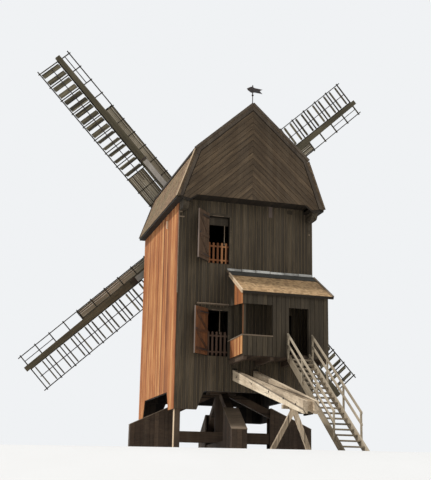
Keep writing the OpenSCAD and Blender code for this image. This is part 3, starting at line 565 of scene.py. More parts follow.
@dataclass(frozen=True)
class Metal:
    """Dull metal with patches of rust or bloom."""

    label: str
    base: Paint
    patch: Paint
    metallic: float
    roughness: float = 0.55
    share: float = 0.6
    depth: float = 0.001

    def material(self) -> Material:
        """Builds the finish.

        Returns:
            The material.
        """
        surface = Surface(self.label)
        graph = surface.graph
        broad = graph.noise(surface.place, 2.2, 5.0)
        fine = graph.noise(surface.place, 38.0, 2.0)
        mask = graph.math("MULTIPLY", graph.rise(broad, 0.42, 0.62), self.share)
        paint = graph.mix(mask, colour(*self.base), colour(*self.patch))
        surface.feed("Base Color", paint)
        surface.feed("Roughness", graph.math("MULTIPLY_ADD", mask, 0.25, self.roughness))
        surface.feed("Metallic", self.metallic)
        surface.relief(fine, self.depth)
        return surface.material


@dataclass(frozen=True)
class Stone:
    """Rough blocks of stone with mortar between them."""

    label: str
    dark: Paint
    light: Paint
    course: float = 0.24
    joint: float = 0.03
    roughness: float = 0.92
    depth: float = 0.012

    def material(self) -> Material:
        """Builds the finish.

        Returns:
            The material.
        """
        surface = Surface(self.label)
        graph = surface.graph
        broad = graph.noise(surface.place, 1.7, 5.0)
        fine = graph.noise(surface.place, 30.0, 4.0)
        rows = graph.math("DIVIDE", graph.split(surface.place)[2], self.course)
        joint = graph.math("LESS_THAN", graph.math("PINGPONG", rows, 0.5), self.joint)
        dark, light = colour(*self.dark), colour(*self.light)
        paint = graph.mix(graph.rise(broad, 0.35, 0.65), dark, light)
        paint = graph.mix(graph.rise(fine, 0.5, 0.8, 0.4), paint, dark)
        paint = graph.mix(graph.math("MULTIPLY", joint, 0.6), paint, light)
        surface.feed("Base Color", paint)
        surface.feed("Roughness", self.roughness)
        surface.relief(graph.math("SUBTRACT", fine, joint), self.depth)
        return surface.material


@dataclass(frozen=True)
class Palette:
    """The finishes of the mill."""

    dark_wall: Timber = Timber(
        "Dark stained wall", (44, 37, 28), (62, 54, 42), (108, 94, 73), spread=0.3, grain=1.5,
        patch=0.5, streak=0.2)
    # Painted shade: a slightly darker copy of the dark stained wall, for walls that stand in shade.
    shaded_wall: Timber = Timber(
        "Dark stained wall in shade", (42, 36, 28), (62, 54, 42), (98, 86, 68), spread=0.25,
        grain=1.5, patch=0.5, streak=0.12)
    # Painted light: the orange that the dark-stained boards show where the sun falls on them.
    sunlit_wall: Timber = Timber(
        "Sunlit orange wall", (112, 62, 34), (170, 106, 60), (208, 156, 102), spread=0.8,
        grain=1.8, streak=0.15, streak_colour=(190, 150, 108))
    gable: Timber = Timber(
        "Brown gable boards", (48, 39, 29), (78, 64, 48), (124, 104, 80), spread=0.22, grain=1.7,
        patch=0.5, streak=0.12)
    barge: Timber = Timber(
        "Brown barge boards", (50, 42, 35), (73, 63, 53), (98, 87, 74), spread=0.4, seam=0.0)
    # Painted shade: a near-black timber for soffits and edges that stand in shadow.
    shade: Timber = Timber(
        "Painted shade timber", (28, 23, 18), (44, 37, 29), (60, 51, 41), spread=0.5, streak=0.0)
    inside: Timber = Timber(
        "Dark inside timber", (24, 20, 16), (38, 32, 26), (56, 48, 40), streak=0.0)
    leaf: Timber = Timber(
        "Brown leaf boards", (66, 44, 30), (112, 70, 42), (142, 96, 60), spread=0.6, streak=0.1)
    upper_leaf: Timber = Timber(
        "Faded leaf boards", (54, 42, 32), (88, 68, 52), (122, 98, 76), spread=0.5, streak=0.1)
    leaf_edge: Timber = Timber(
        "Worn leaf edge", (96, 82, 74), (120, 104, 94), (142, 126, 114), spread=0.3)
    pale: Timber = Timber(
        "Bleached timber", (126, 110, 90), (200, 180, 153), (234, 217, 190), spread=0.5, grain=2.0,
        patch=1.4, crack=1.0, streak=0.25)
    stair: Timber = Timber(
        "Grey stair timber", (108, 96, 78), (150, 137, 116), (184, 170, 148), spread=0.6,
        streak=0.2)
    verge: Timber = Timber(
        "Pale verge lath", (180, 152, 120), (208, 182, 150), (226, 206, 178), spread=0.5,
        streak=0.1)
    sail: Timber = Timber(
        "Dark sail timber", (30, 27, 21), (48, 44, 35), (84, 78, 63), streak=0.0, seam=0.0,
        depth=0.001)
    shutter: Timber = Timber(
        "Olive shutter boards", (48, 44, 34), (80, 74, 59), (124, 116, 94), grain=1.6, streak=0.1,
        seam=0.0, depth=0.001)
    sail_board: Timber = Timber(
        "Grey sail boards", (62, 56, 44), (104, 96, 80), (158, 148, 128), spread=1.2, streak=0.1,
        depth=0.001)
    sail_lath: Timber = Timber(
        "Bleached sail laths", (140, 132, 114), (200, 190, 172), (236, 228, 212), spread=1.0,
        depth=0.001)
    stock: Timber = Timber(
        "Olive stock timber", (50, 46, 36), (80, 74, 58), (112, 104, 84), streak=0.1, seam=0.0)
    facing: Timber = Timber(
        "Grey doubling plank", (150, 146, 138), (180, 174, 166), (204, 199, 190), patch=0.5)
    trestle: Timber = Timber(
        "Trestle timber", (46, 36, 28), (72, 58, 46), (100, 82, 66), spread=0.5, streak=0.15)
    case_edge: Timber = Timber(
        "Worn cap board", (88, 74, 60), (124, 108, 90), (160, 142, 120), spread=0.5)
    picket: Timber = Timber(
        "Orange picket", (94, 58, 34), (140, 90, 54), (184, 136, 94), streak=0.0, seam=0.0)
    shingle: Shingle = Shingle(
        "Porch shingles", (124, 96, 66), (180, 147, 105), (208, 176, 134), (112, 100, 70), 0.22)
    roof_shingle: Shingle = Shingle(
        "Roof shingles", (88, 66, 46), (134, 106, 78), (172, 144, 110), (104, 100, 66), 0.45)
    iron: Metal = Metal("Dull iron", (52, 52, 54), (74, 54, 42), 0.5)
    zinc: Metal = Metal(
        "Weathered zinc", (206, 205, 198), (132, 130, 124), 0.1, roughness=0.7, share=0.8)
    lead: Metal = Metal("Dark lead apron", (62, 60, 54), (46, 44, 38), 0.1, roughness=0.8)
    stone: Stone = Stone("Pier stone", (104, 100, 92), (156, 150, 138))


PALETTE = Palette()


def cut_away(small: bmesh.types.BMesh, cuts: tuple[Plane, ...]) -> None:
    """Cuts a closed mesh by planes and closes it again.

    Args:
        small: The mesh.
        cuts: Points and outward normals of planes, past which the mesh is cut away.
    """
    for point, normal in cuts:
        whole = small.verts[:] + small.edges[:] + small.faces[:]
        made = bmesh.ops.bisect_plane(small, geom=whole, plane_co=point, plane_no=normal,
                                      clear_outer=True)
        edges = [part for part in made["geom_cut"] if isinstance(part, bmesh.types.BMEdge)]
        if edges:
            bmesh.ops.edgeloop_fill(small, edges=edges)


class Stack:
    """Gathers boards, laths, rods and bolts in one mesh, each with a tone of its own."""

    def __init__(self, name: str, seed: int) -> None:
        """Starts the piece.

        Args:
            name: The piece's name.
            seed: The seed of its tones.
        """
        self.name = name
        self.chance = random.Random(seed)
        self.bm = bmesh.new()
        self.tones = self.bm.faces.layers.float.new(TONE)

    def stamp(self, small: bmesh.types.BMesh, tone: float | None = None) -> None:
        """Adds a finished small mesh.

        Args:
            small: The mesh, which is freed.
            tone: Its tone from 0 to 1, or None for a random one.
        """
        value = self.chance.random() if tone is None else tone
        start = len(self.bm.faces)
        mesh = bpy.data.meshes.new("stamp")
        small.to_mesh(mesh)
        small.free()
        self.bm.from_mesh(mesh)
        bpy.data.meshes.remove(mesh)
        self.bm.faces.ensure_lookup_table()
        for face in self.bm.faces[start:]:
            face[self.tones] = value

    def block(self, matrix: Matrix, size: Triple, cuts: tuple[Plane, ...] = (),
              tone: float | None = None) -> None:
        """Adds one block, cut by planes.

        Args:
            matrix: The place and turn of its middle.
            size: Its three lengths.
            cuts: Points and outward normals of planes, past which the block is cut away.
            tone: Its tone, or None for a random one.
        """
        small = bmesh.new()
        bmesh.ops.create_cube(small, size=1.0, matrix=matrix @ Matrix.Diagonal((*size, 1.0)))
        cut_away(small, cuts)
        self.stamp(small, tone)

    def bar(self, start: Point, end: Point, width: float, depth: float, out: Vector,
            tone: float | None = None) -> None:
        """Adds a straight lath between two points.

        Args:
            start: The middle of one end.
            end: The middle of the other end.
            width: Its width across.
            depth: Its thickness along out.
            out: The direction that its thickness points in.
            tone: Its tone, or None for a random one.
        """
        start, end = Vector(start), Vector(end)
        along = (end - start).normalized()
        side = out.cross(along).normalized()
        up = along.cross(side)
        turn = Matrix((along, side, up)).transposed().to_4x4()
        place = Matrix.Translation((start + end) / 2) @ turn
        self.block(place, ((end - start).length, width, depth), tone=tone)

    def rod(self, start: Point, end: Point, radius: float, sides: int = 10,
            tone: float | None = None) -> None:
        """Adds a round rod between two points.

        Args:
            start: The middle of one end.
            end: The middle of the other end.
            radius: Its radius.
            sides: Its number of sides.
            tone: Its tone, or None for a random one.
        """
        start, end = Vector(start), Vector(end)
        along = end - start
        turn = along.to_track_quat("Z", "Y").to_matrix().to_4x4()
        small = bmesh.new()
        bmesh.ops.create_cone(small, cap_ends=True, segments=sides, radius1=radius,
                              radius2=radius, depth=along.length,
                              matrix=Matrix.Translation((start + end) / 2) @ turn)
        self.stamp(small, tone)

    def finish(self, material: Material, slot: Slot, bevel: float = 0.0,
               body: Body = Body.MILL) -> None:
        """Turns the mesh into a piece of the mill.

        Args:
            material: Its finish.
            slot: The record's slot of its finish; not used.
            bevel: The width of its rounded edges, or 0.
            body: The body that it rides on.
        """
        bmesh.ops.recalc_face_normals(self.bm, faces=self.bm.faces[:])
        mesh = bpy.data.meshes.new(self.name)
        self.bm.to_mesh(mesh)
        self.bm.free()
        piece = bpy.data.objects.new(self.name, mesh)
        bpy.context.scene.collection.objects.link(piece)
        mesh.materials.append(material)
        if bevel:
            rounding = piece.modifiers.new("Rounded edges", "BEVEL")
            rounding.width = bevel
            rounding.segments = 1
            rounding.limit_method = "ANGLE"
        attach(piece, body.value)
        log.info("piece %s: %d faces", self.name, len(mesh.polygons))


@dataclass(frozen=True)
class Wall:
    """A plane that boards are nailed to: u runs along the boards, v across them."""

    origin: Vector
    along: Vector
    across: Vector
    out: Vector

    @classmethod
    def upright(cls, origin: Vector, across: Vector, out: Vector) -> "Wall":
        """Returns a wall whose boards stand upright."""
        return cls(origin, UP, across, out)

    def point(self, u: float, v: float, n: float = 0.0) -> Vector:
        """Returns the point at u, v and at the distance n from the plane."""
        return self.origin + self.along * u + self.across * v + self.out * n

    def matrix(self, u: float, v: float, n: float) -> Matrix:
        """Returns the place of a block whose lengths lie along u, v and the outward normal."""
        turn = Matrix((self.along, self.across, self.out)).transposed().to_4x4()
        return Matrix.Translation(self.point(u, v, n)) @ turn

    def cut(self, first: Span, second: Span, inside: Span) -> Plane:
        """Returns the plane through two points that leaves the inside point.

        Args:
            first: The u and v of one point.
            second: The u and v of the other point.
            inside: The u and v of a point on the side that stays.

        Returns:
            A point and the outward normal.
        """
        line = self.point(*second) - self.point(*first)
        normal = line.cross(self.out).normalized()
        if normal.dot(self.point(*inside) - self.point(*first)) > 0:
            normal = -normal
        return self.point(*first), normal


@dataclass(frozen=True)
class Column:
    """A part of a wall between two v, with straight lower and upper edges."""

    v: Span
    low: Span
    high: Span

    def low_at(self, v: float) -> float:
        """Returns the lower edge at v."""
        return self._at(self.low, v)

    def high_at(self, v: float) -> float:
        """Returns the upper edge at v."""
        return self._at(self.high, v)

    def _at(self, edge: Span, v: float) -> float:
        """Returns an edge at v."""
        share = (v - self.v[0]) / (self.v[1] - self.v[0])
        return edge[0] + (edge[1] - edge[0]) * share


@dataclass(frozen=True)
class Hole:
    """A rectangle that boards leave free."""

    u: Span
    v: Span


@dataclass(frozen=True)
class Boarding:
    """Upright boards of like width, nailed side by side."""

    width: float = 0.2
    gap: float = 0.014
    thickness: float = 0.022
    wander: float = 0.12
    bead: float = 0.0
    smallest: float = 0.015
    uneven: float = 0.003
    touch: float = 0.002
    reach: float = 100.0

    def strips(self, span: Span, chance: random.Random) -> list[Span]:
        """Divides a stretch into boards.

        Args:
            span: The start and end of the stretch.
            chance: Where the wander of the joints comes from.

        Returns:
            The start and end of each board.
        """
        count = max(1, round((span[1] - span[0]) / self.width))
        step = (span[1] - span[0]) / count
        joints = [span[0] + step * k for k in range(count + 1)]
        for k in range(1, count):
            joints[k] += (chance.random() - 0.5) * 2 * self.wander * step
        return list(zip(joints[:-1], joints[1:]))

    def lay(self, stack: Stack, wall: Wall, columns: tuple[Column, ...],
            holes: tuple[Hole, ...] = ()) -> None:
        """Nails boards over the columns of a wall and round its holes.

        Args:
            stack: The piece that takes the boards.
            wall: The wall's plane.
            columns: Its parts from side to side.
            holes: The openings.
        """
        for column in columns:
            for strip in self.strips(column.v, stack.chance):
                tone = stack.chance.random()
                lift = stack.chance.random() * self.uneven
                split = strip[1] - self.bead
                parts = [((strip[0], split), tone)]
                if self.bead:
                    parts.append(((split, strip[1]), 3.0 + 2.0 * stack.chance.random()))
                for part, shade in parts:
                    for piece in self._pieces(part, holes):
                        self._board(stack, wall, column, part, piece, shade, lift)

    def _pieces(self, strip: Span, holes: tuple[Hole, ...]) -> list[tuple[Span, float, float]]:
        """Splits a strip round the holes that it meets.

        Args:
            strip: The start and end of the strip.
            holes: The openings.

        Returns:
            The v, the lowest u and the highest u of each part.
        """
        met = sorted((h for h in holes if h.v[0] < strip[1] - self.touch
                      and h.v[1] > strip[0] + self.touch), key=lambda h: h.u[0])
        parts = []
        below = -self.reach
        for hole in met:
            parts.append((strip, below, hole.u[0]))
            if hole.v[0] > strip[0] + self.smallest:
                parts.append(((strip[0], hole.v[0]), hole.u[0], hole.u[1]))
            if hole.v[1] < strip[1] - self.smallest:
                parts.append(((hole.v[1], strip[1]), hole.u[0], hole.u[1]))
            below = hole.u[1]
        parts.append((strip, below, self.reach))
        return parts

    def _board(self, stack: Stack, wall: Wall, column: Column, strip: Span,
               part: tuple[Span, float, float], tone: float, lift: float) -> None:
        """Adds one part of a board, cut along the column's edges.

        Args:
            stack: The piece that takes it.
            wall: The wall's plane.
            column: The part of the wall that it covers.
            strip: The start and end of the whole board across the wall.
            part: Its own v, lowest u and highest u.
            tone: Its tone.
            lift: How far it stands off the wall.
        """
        v, low, high = part
        start = v[0] + (self.gap / 2 if v[0] == strip[0] else 0.0)
        end = v[1] - (self.gap / 2 if v[1] == strip[1] else 0.0)
        edge_low = min(column.low_at(start), column.low_at(end))
        edge_high = max(column.high_at(start), column.high_at(end))
        bottom = max(low, edge_low)
        top = min(high, edge_high)
        if top - bottom < self.smallest:
            return
        middle = (bottom + top) / 2
        cuts = []
        for edge, met, inward in ((column.low, low < max(column.low), 1.0),
                                  (column.high, high > min(column.high), -1.0)):
            if met and abs(edge[1] - edge[0]) > 0.001:
                cuts.append(wall.cut((edge[0], column.v[0]), (edge[1], column.v[1]),
                                     (sum(edge) / 2 + inward, (start + end) / 2)))
        place = wall.matrix(middle, (start + end) / 2, self.thickness / 2 + lift)
        stack.block(place, (top - bottom, end - start, self.thickness), tuple(cuts), tone)


@dataclass(frozen=True)
class MillSizes:
    """Main planes of the mill, in metres."""

    half_w: float
    half_d: float
    base: float
    wall_top: float
    gable_z: float
    ridge_z: float
    roof_rear: float
    roof_front: float
    eave_x: float
    foot_z: float
    break_x: float = 2.39
    break_z: float = 12.175
    roof_t: float = 0.09
    skirt_drop: float = 0.73
    skirt_w: float = 0.9
    skirt_flare: float = 0.29

    @classmethod
    def from_frame(cls) -> "MillSizes":
        """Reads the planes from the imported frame.

        Returns:
            The sizes.
        """
        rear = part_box("rear_wall")
        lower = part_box("roof_lower")
        return cls(half_w=rear[1].x, half_d=-rear[0].y, base=rear[0].z,
                   wall_top=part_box("left_wall")[1].z, gable_z=rear[1].z,
                   ridge_z=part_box("roof_upper")[1].z, roof_rear=lower[0].y,
                   roof_front=lower[1].y, eave_x=lower[1].x, foot_z=lower[0].z)

    @property
    def foot(self) -> float:
        """The lower edge of the skirts."""
        return self.base - self.skirt_drop

    @property
    def upper_angle(self) -> float:
        """The slope of the upper roof."""
        return math.atan2(self.ridge_z - self.break_z, self.break_x)

    @property
    def lower_angle(self) -> float:
        """The slope of the lower roof."""
        return math.atan2(self.break_z - self.foot_z, self.eave_x - self.break_x)

    def upper_z(self, x: float, depth: float = 0.0) -> float:
        """Returns the height of the upper slope, set in by a depth, at x."""
        return self.ridge_z - abs(x) * math.tan(self.upper_angle) - depth / math.cos(
            self.upper_angle)

    def lower_x(self, z: float, depth: float = 0.0) -> float:
        """Returns the half width of the lower slope, set in by a depth, at z."""
        return self.eave_x - (z - self.foot_z) / math.tan(self.lower_angle) - depth / math.sin(
            self.lower_angle)

    def skirt_columns(self, half: float, top: float) -> tuple[Column, ...]:
        """Returns the columns of a wall with skirts at both ends.

        Args:
            half: Half the wall's length.
            top: Its upper edge.

        Returns:
            Five columns from side to side.
        """
        inner = half - self.skirt_w
        slant = inner - self.skirt_flare
        return (Column((-half, -inner), (self.foot, self.foot), (top, top)),
                Column((-inner, -slant), (self.foot, self.base), (top, top)),
                Column((-slant, slant), (self.base, self.base), (top, top)),
                Column((slant, inner), (self.base, self.foot), (top, top)),
                Column((inner, half), (self.foot, self.foot), (top, top)))


def nail(name: str, seed: int, boarding: Boarding, wall: Wall, columns: tuple[Column, ...],
         finish: Timber, slot: Slot, holes: tuple[Hole, ...] = ()) -> None:
    """Nails one piece of upright boards to a wall of the mill.

    Args:
        name: The piece's name.
        seed: The seed of its joints and tones.
        boarding: The way of boarding.
        wall: The wall's plane.
        columns: Its parts from side to side.
        finish: The finish of the boards.
        slot: The record's slot of the finish.
        holes: The openings.
    """
    stack = Stack(name, seed)
    boarding.lay(stack, wall, columns, holes)
    stack.finish(finish.material(Run.UP), slot, ROUNDING)


@dataclass
class Walls:
    """The four boarded walls."""

    sizes: MillSizes
    boarding: Boarding = Boarding()
    rear_boarding: Boarding = Boarding(width=0.15, gap=0.006, bead=0.024)
    plate_z: Span = (9.64, 9.99)
    plate_w: float = 0.24
    soffit_w: float = 0.36
    sky_z: float = 20.0
    tail_z: Span = (2.93, 3.42)
    tail_x: Span = (0.33, 0.53)
    low_door: Hole = Hole((3.867, 5.681), (-1.568, -0.732))
    up_door: Hole = Hole((7.6, 9.557), (-1.596, -0.732))
    doorway: Hole = Hole((3.8, 5.67), (1.15, 1.95))
    hinge_room: float = 0.036
    vent: Triple = (-2.9, -1.4, 9.54)
    vent_half: float = 0.17
    vent_lath: Span = (0.07, 0.05)
    shaft_hole_z: float = 11.08
    shaft_hole: float = 0.3
    break_in: float = 0.06
    lintel: Span = (0.12, 0.03)
    lintel_over: Span = (0.02, 0.06)
    casing: Span = (0.09, 0.024)
    casing_off: float = 0.05
    guard: Span = (0.33, 0.02)
    guard_l: float = 0.84
    guard_drop: float = 0.18
    hatch: Span = (0.15, 0.02)
    hatch_l: float = 0.225
    hatch_at: Span = (1.775, 10.02)
    batten_l: float = 0.6
    batten_in: float = 0.125
    batten_z: float = 9.24
    door_edge: Span = (0.02, 0.03)
    stay: Span = (0.024, 0.02)
    stay_in: float = 0.06
    stays: tuple[Triple, ...] = ((-0.92, 8.39, 9.22), (-1.06, 4.76, 5.68))
    corner_lath: Span = (0.032, 0.02)
    corner_z: Span = (6.3, 9.6)
    block_end: Span = (0.045, 0.04)
    block_ends: tuple[Triple, ...] = ((-2.8, 9.62, 0.16), (-2.74, 9.42, 0.2), (2.76, 9.9, 0.07),
                                      (2.73, 9.13, 0.06))

    def build(self) -> None:
        """Builds and dresses the walls."""
        self._rear()
        self._sides()
        self._front()
        self._trim()
        self._pale_edges()
        self._dress()

    @property
    def face_y(self) -> float:
        """The outer plane of the rear boards."""
        return -self.sizes.half_d - self.boarding.thickness

    def _rear(self) -> None:
        """Nails the dark boards of the rear wall."""
        s = self.sizes
        plates = []
        for u, room in ((self.plate_z, self.plate_w),
                        ((self.plate_z[1], self.sky_z), self.soffit_w)):
            plates.append(Hole(u, (-s.half_w, room - s.half_w)))
            plates.append(Hole(u, (s.half_w - room, s.half_w)))
        near, far = self.tail_x
        tails = [Hole(self.tail_z, side) for side in ((-far, -near), (near, far))]
        doors = [Hole(door.u, (door.v[0] - self.hinge_room, door.v[1]))
                 for door in (self.low_door, self.up_door)]
        nail("rear_boards", 11, self.rear_boarding, Wall.upright(REAR * s.half_d, RIGHT, REAR),
             s.skirt_columns(s.half_w, s.gable_z), PALETTE.dark_wall, Slot.DARK,
             (*doors, self.doorway, *plates, *tails))

    def _sides(self) -> None:
        """Nails the boards of both side walls, which cover the ends of the rear ones."""
        s = self.sizes
        columns = s.skirt_columns(s.half_d + self.boarding.thickness, s.wall_top)
        # The left boards take the sunlit orange finish, which is painted light.
        nail("left_boards", 12, self.boarding, Wall.upright(LEFT * s.half_w, FRONT, LEFT),
             columns, PALETTE.sunlit_wall, Slot.ORANGE)
        lath = Stack("vent_lath", 17)
        middle = Vector(self.vent)
        rise = UP * self.vent_half
        lath.bar(middle - rise, middle + rise, *self.vent_lath, LEFT, 1.0)
        lath.finish(PALETTE.verge.material(Run.UP), Slot.PALE, ROUNDING)
        nail("right_boards", 13, self.boarding, Wall.upright(RIGHT * s.half_w, FRONT, RIGHT),
             columns, PALETTE.shaded_wall, Slot.DARK)

    def _front(self) -> None:
        """Nails the boards of the front wall and its gable, round the neck of the windshaft."""
        s = self.sizes
        lap = self.boarding.thickness + s.roof_t
        break_x = s.lower_x(s.break_z, lap) - self.break_in
        inner = s.half_w - s.skirt_w
        slant = inner - s.skirt_flare
        edge_z = s.foot_z + (s.lower_x(s.foot_z, lap) - s.half_w) * math.tan(s.lower_angle)
        high = {x: s.upper_z(x, lap) for x in (0.0, slant, inner, break_x)}
        right = ((0.0, slant, s.base, s.base, high[0.0], high[slant]),
                 (slant, inner, s.base, s.foot, high[slant], high[inner]),
                 (inner, break_x, s.foot, s.foot, high[inner], high[break_x]),
                 (break_x, s.half_w, s.foot, s.foot, high[break_x], edge_z))
        columns = []
        for x0, x1, low0, low1, top0, top1 in right:
            columns.append(Column((x0, x1), (low0, low1), (top0, top1)))
            columns.append(Column((-x1, -x0), (low1, low0), (top1, top0)))
        neck = Hole((self.shaft_hole_z - self.shaft_hole, self.shaft_hole_z + self.shaft_hole),
                    (-self.shaft_hole, self.shaft_hole))
        nail("front_boards", 14, self.boarding, Wall.upright(FRONT * s.half_d, RIGHT, FRONT),
             tuple(columns), PALETTE.shaded_wall, Slot.DARK, (neck,))

    def _trim(self) -> None:
        """Adds the lintels, casings, guard board, hatch and batten of the rear wall."""
        s = self.sizes
        y = self.face_y
        stack = Stack("opening_trim", 15)
        for door in (self.low_door, self.up_door):
            right = door.v[1] + self.casing_off
            z = door.u[1] + self.lintel[0] / 2
            left_over, right_over = self.lintel_over
            stack.bar((door.v[0] - left_over, y - 0.012, z),
                      (right + right_over, y - 0.012, z), *self.lintel, REAR, 0.25)
            stack.bar((right, y - 0.01, door.u[0]), (right, y - 0.01, door.u[1]),
                      *self.casing, REAR, 0.8)
        guard = Vector((self.up_door.v[0] + 0.01, -s.half_d + 0.1,
                        self.up_door.u[1] - self.guard_drop))
        stack.bar(guard, guard + RIGHT * self.guard_l, *self.guard, REAR, -0.6)
        hatch = Vector((self.hatch_at[0], y - 0.008, self.hatch_at[1]))
        stack.bar(hatch, hatch + RIGHT * self.hatch_l, *self.hatch, REAR, 0.0)
        batten = Vector((s.half_w - self.batten_in, y - 0.01, self.batten_z))
        stack.bar(batten, batten + UP * self.batten_l, *self.casing, REAR, 0.1)
        stack.finish(PALETTE.dark_wall.material(Run.ACROSS), Slot.DARK, ROUNDING)

    def _pale_edges(self) -> None:
        """Adds the pale edges, stays and block ends of the rear wall, and a pale corner lath
        painted as the sunlit edge of the left boards.
        """
        s = self.sizes
        y = self.face_y
        edges = Stack("opening_edges", 16)
        for door in (self.low_door, self.up_door):
            z = door.u[1] + 0.012
            edges.bar((door.v[0] + 0.14, y - 0.03, z),
                      (door.v[1] - 0.26, y - 0.03, z), *self.door_edge, REAR, 0.5)
        for x, low, high in self.stays:
            inside = -s.half_d + self.stay_in
            edges.bar((x, inside, low), (x, inside, high), *self.stay, REAR, 0.4)
        # Painted light: the pale corner lath stands for the sunlit edge of the left boards.
        x = -s.half_w - self.boarding.thickness + self.corner_lath[0] / 2
        edges.bar(*(Vector((x, y - 0.01, z)) for z in self.corner_z), *self.corner_lath, REAR, 0.7)
        for x, z, wide in self.block_ends:
            edges.bar((x - wide / 2, y - 0.02, z), (x + wide / 2, y - 0.02, z),
                      *self.block_end, REAR, 0.9)
        edges.finish(PALETTE.case_edge.material(Run.ACROSS), Slot.FRAME, FINE_ROUNDING)

    def _dress(self) -> None:
        """Finishes the solids of the walls."""
        inside = PALETTE.inside
        dress({name: inside.material(Run.UP, 0.2) for name in (
            "rear_wall", "front_wall", "left_wall", "right_wall", "corner_skirts")})
        worn = banded(PALETTE.case_edge.material(Run.ACROSS, 0.3), 8.0, 8.1, colour(94, 82, 74))
        # The soffits take painted shade, for the shadow under the eaves and under the gable's
        # overhang.
        dress({"corner_posts": inside.material(Run.UP, 0.5),
               "wall_plates": PALETTE.dark_wall.material(Run.DEEP, 0.4),
               "soffits": PALETTE.shade.material(Run.DEEP, 0.18),
               "rear_trim": worn,
               "floor_beams": inside.material(Run.DEEP, 0.5),
               "lower_floor": inside.material(Run.DEEP, 0.22),
               "upper_floor": inside.material(Run.DEEP, 0.22),
               "crown_frame": inside.material(Run.ACROSS, 0.6),
               "shaft_bearers": inside.material(Run.ACROSS, 0.5)})


def dress(finishes: dict[str, Material]) -> None:
    """Gives CAD nodes their finishes.

    Args:
        finishes: The material of each node, by its name.
    """
    for name, material in finishes.items():
        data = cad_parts[name].data
        if not data.materials:
            data.materials.append(material)
        for k in range(len(data.materials)):
            data.materials[k] = material


def banded(material: Material, start: float, end: float,
           paint: Colour) -> Material:
    """Gives a finish another colour on one side of a height.

    Args:
        material: The finish, which is changed.
        start: The height where the other colour starts to show.
        end: The height where it covers the finish, over or under the start.
        paint: The other colour.

    Returns:
        The finish.
    """
    graph = Graph(material.node_tree)
    shader = material.node_tree.nodes["Principled BSDF"]
    first = shader.inputs["Base Color"].links[0].from_socket
    place = graph.add("ShaderNodeTexCoord").outputs["Object"]
    share = graph.rise(graph.split(place)[2], start, end)
    graph.feed(shader.inputs["Base Color"], graph.mix(share, first, paint))
    return material


@dataclass(frozen=True)
class Slope:
    """A plane of roof: along its eave, up its slope and out of it."""

    corner: Vector
    along: Vector
    up: Vector
    width: float
    height: float

    @property
    def out(self) -> Vector:
        """The outward normal of the slope."""
        normal = self.along.cross(self.up).normalized()
        return normal if normal.z > 0 else -normal

    def point(self, x: float, y: float, n: float = 0.0) -> Vector:
        """Returns the point at x along the eave, y up the slope and n out of it."""
        return self.corner + self.along * x + self.up * y + self.out * n

    def lath(self, stack: Stack, start: Span, end: Span, n: float, size: Span,
             tone: float | None = None) -> None:
        """Lays a lath on the slope.

        Args:
            stack: The piece that takes it.
            start: The x and y of one end.
            end: The x and y of the other end.
            n: How far its middle stands off the slope.
            size: Its width and thickness.
            tone: Its tone, or None for a random one.
        """
        stack.bar(self.point(*start, n), self.point(*end, n), *size, self.out, tone)


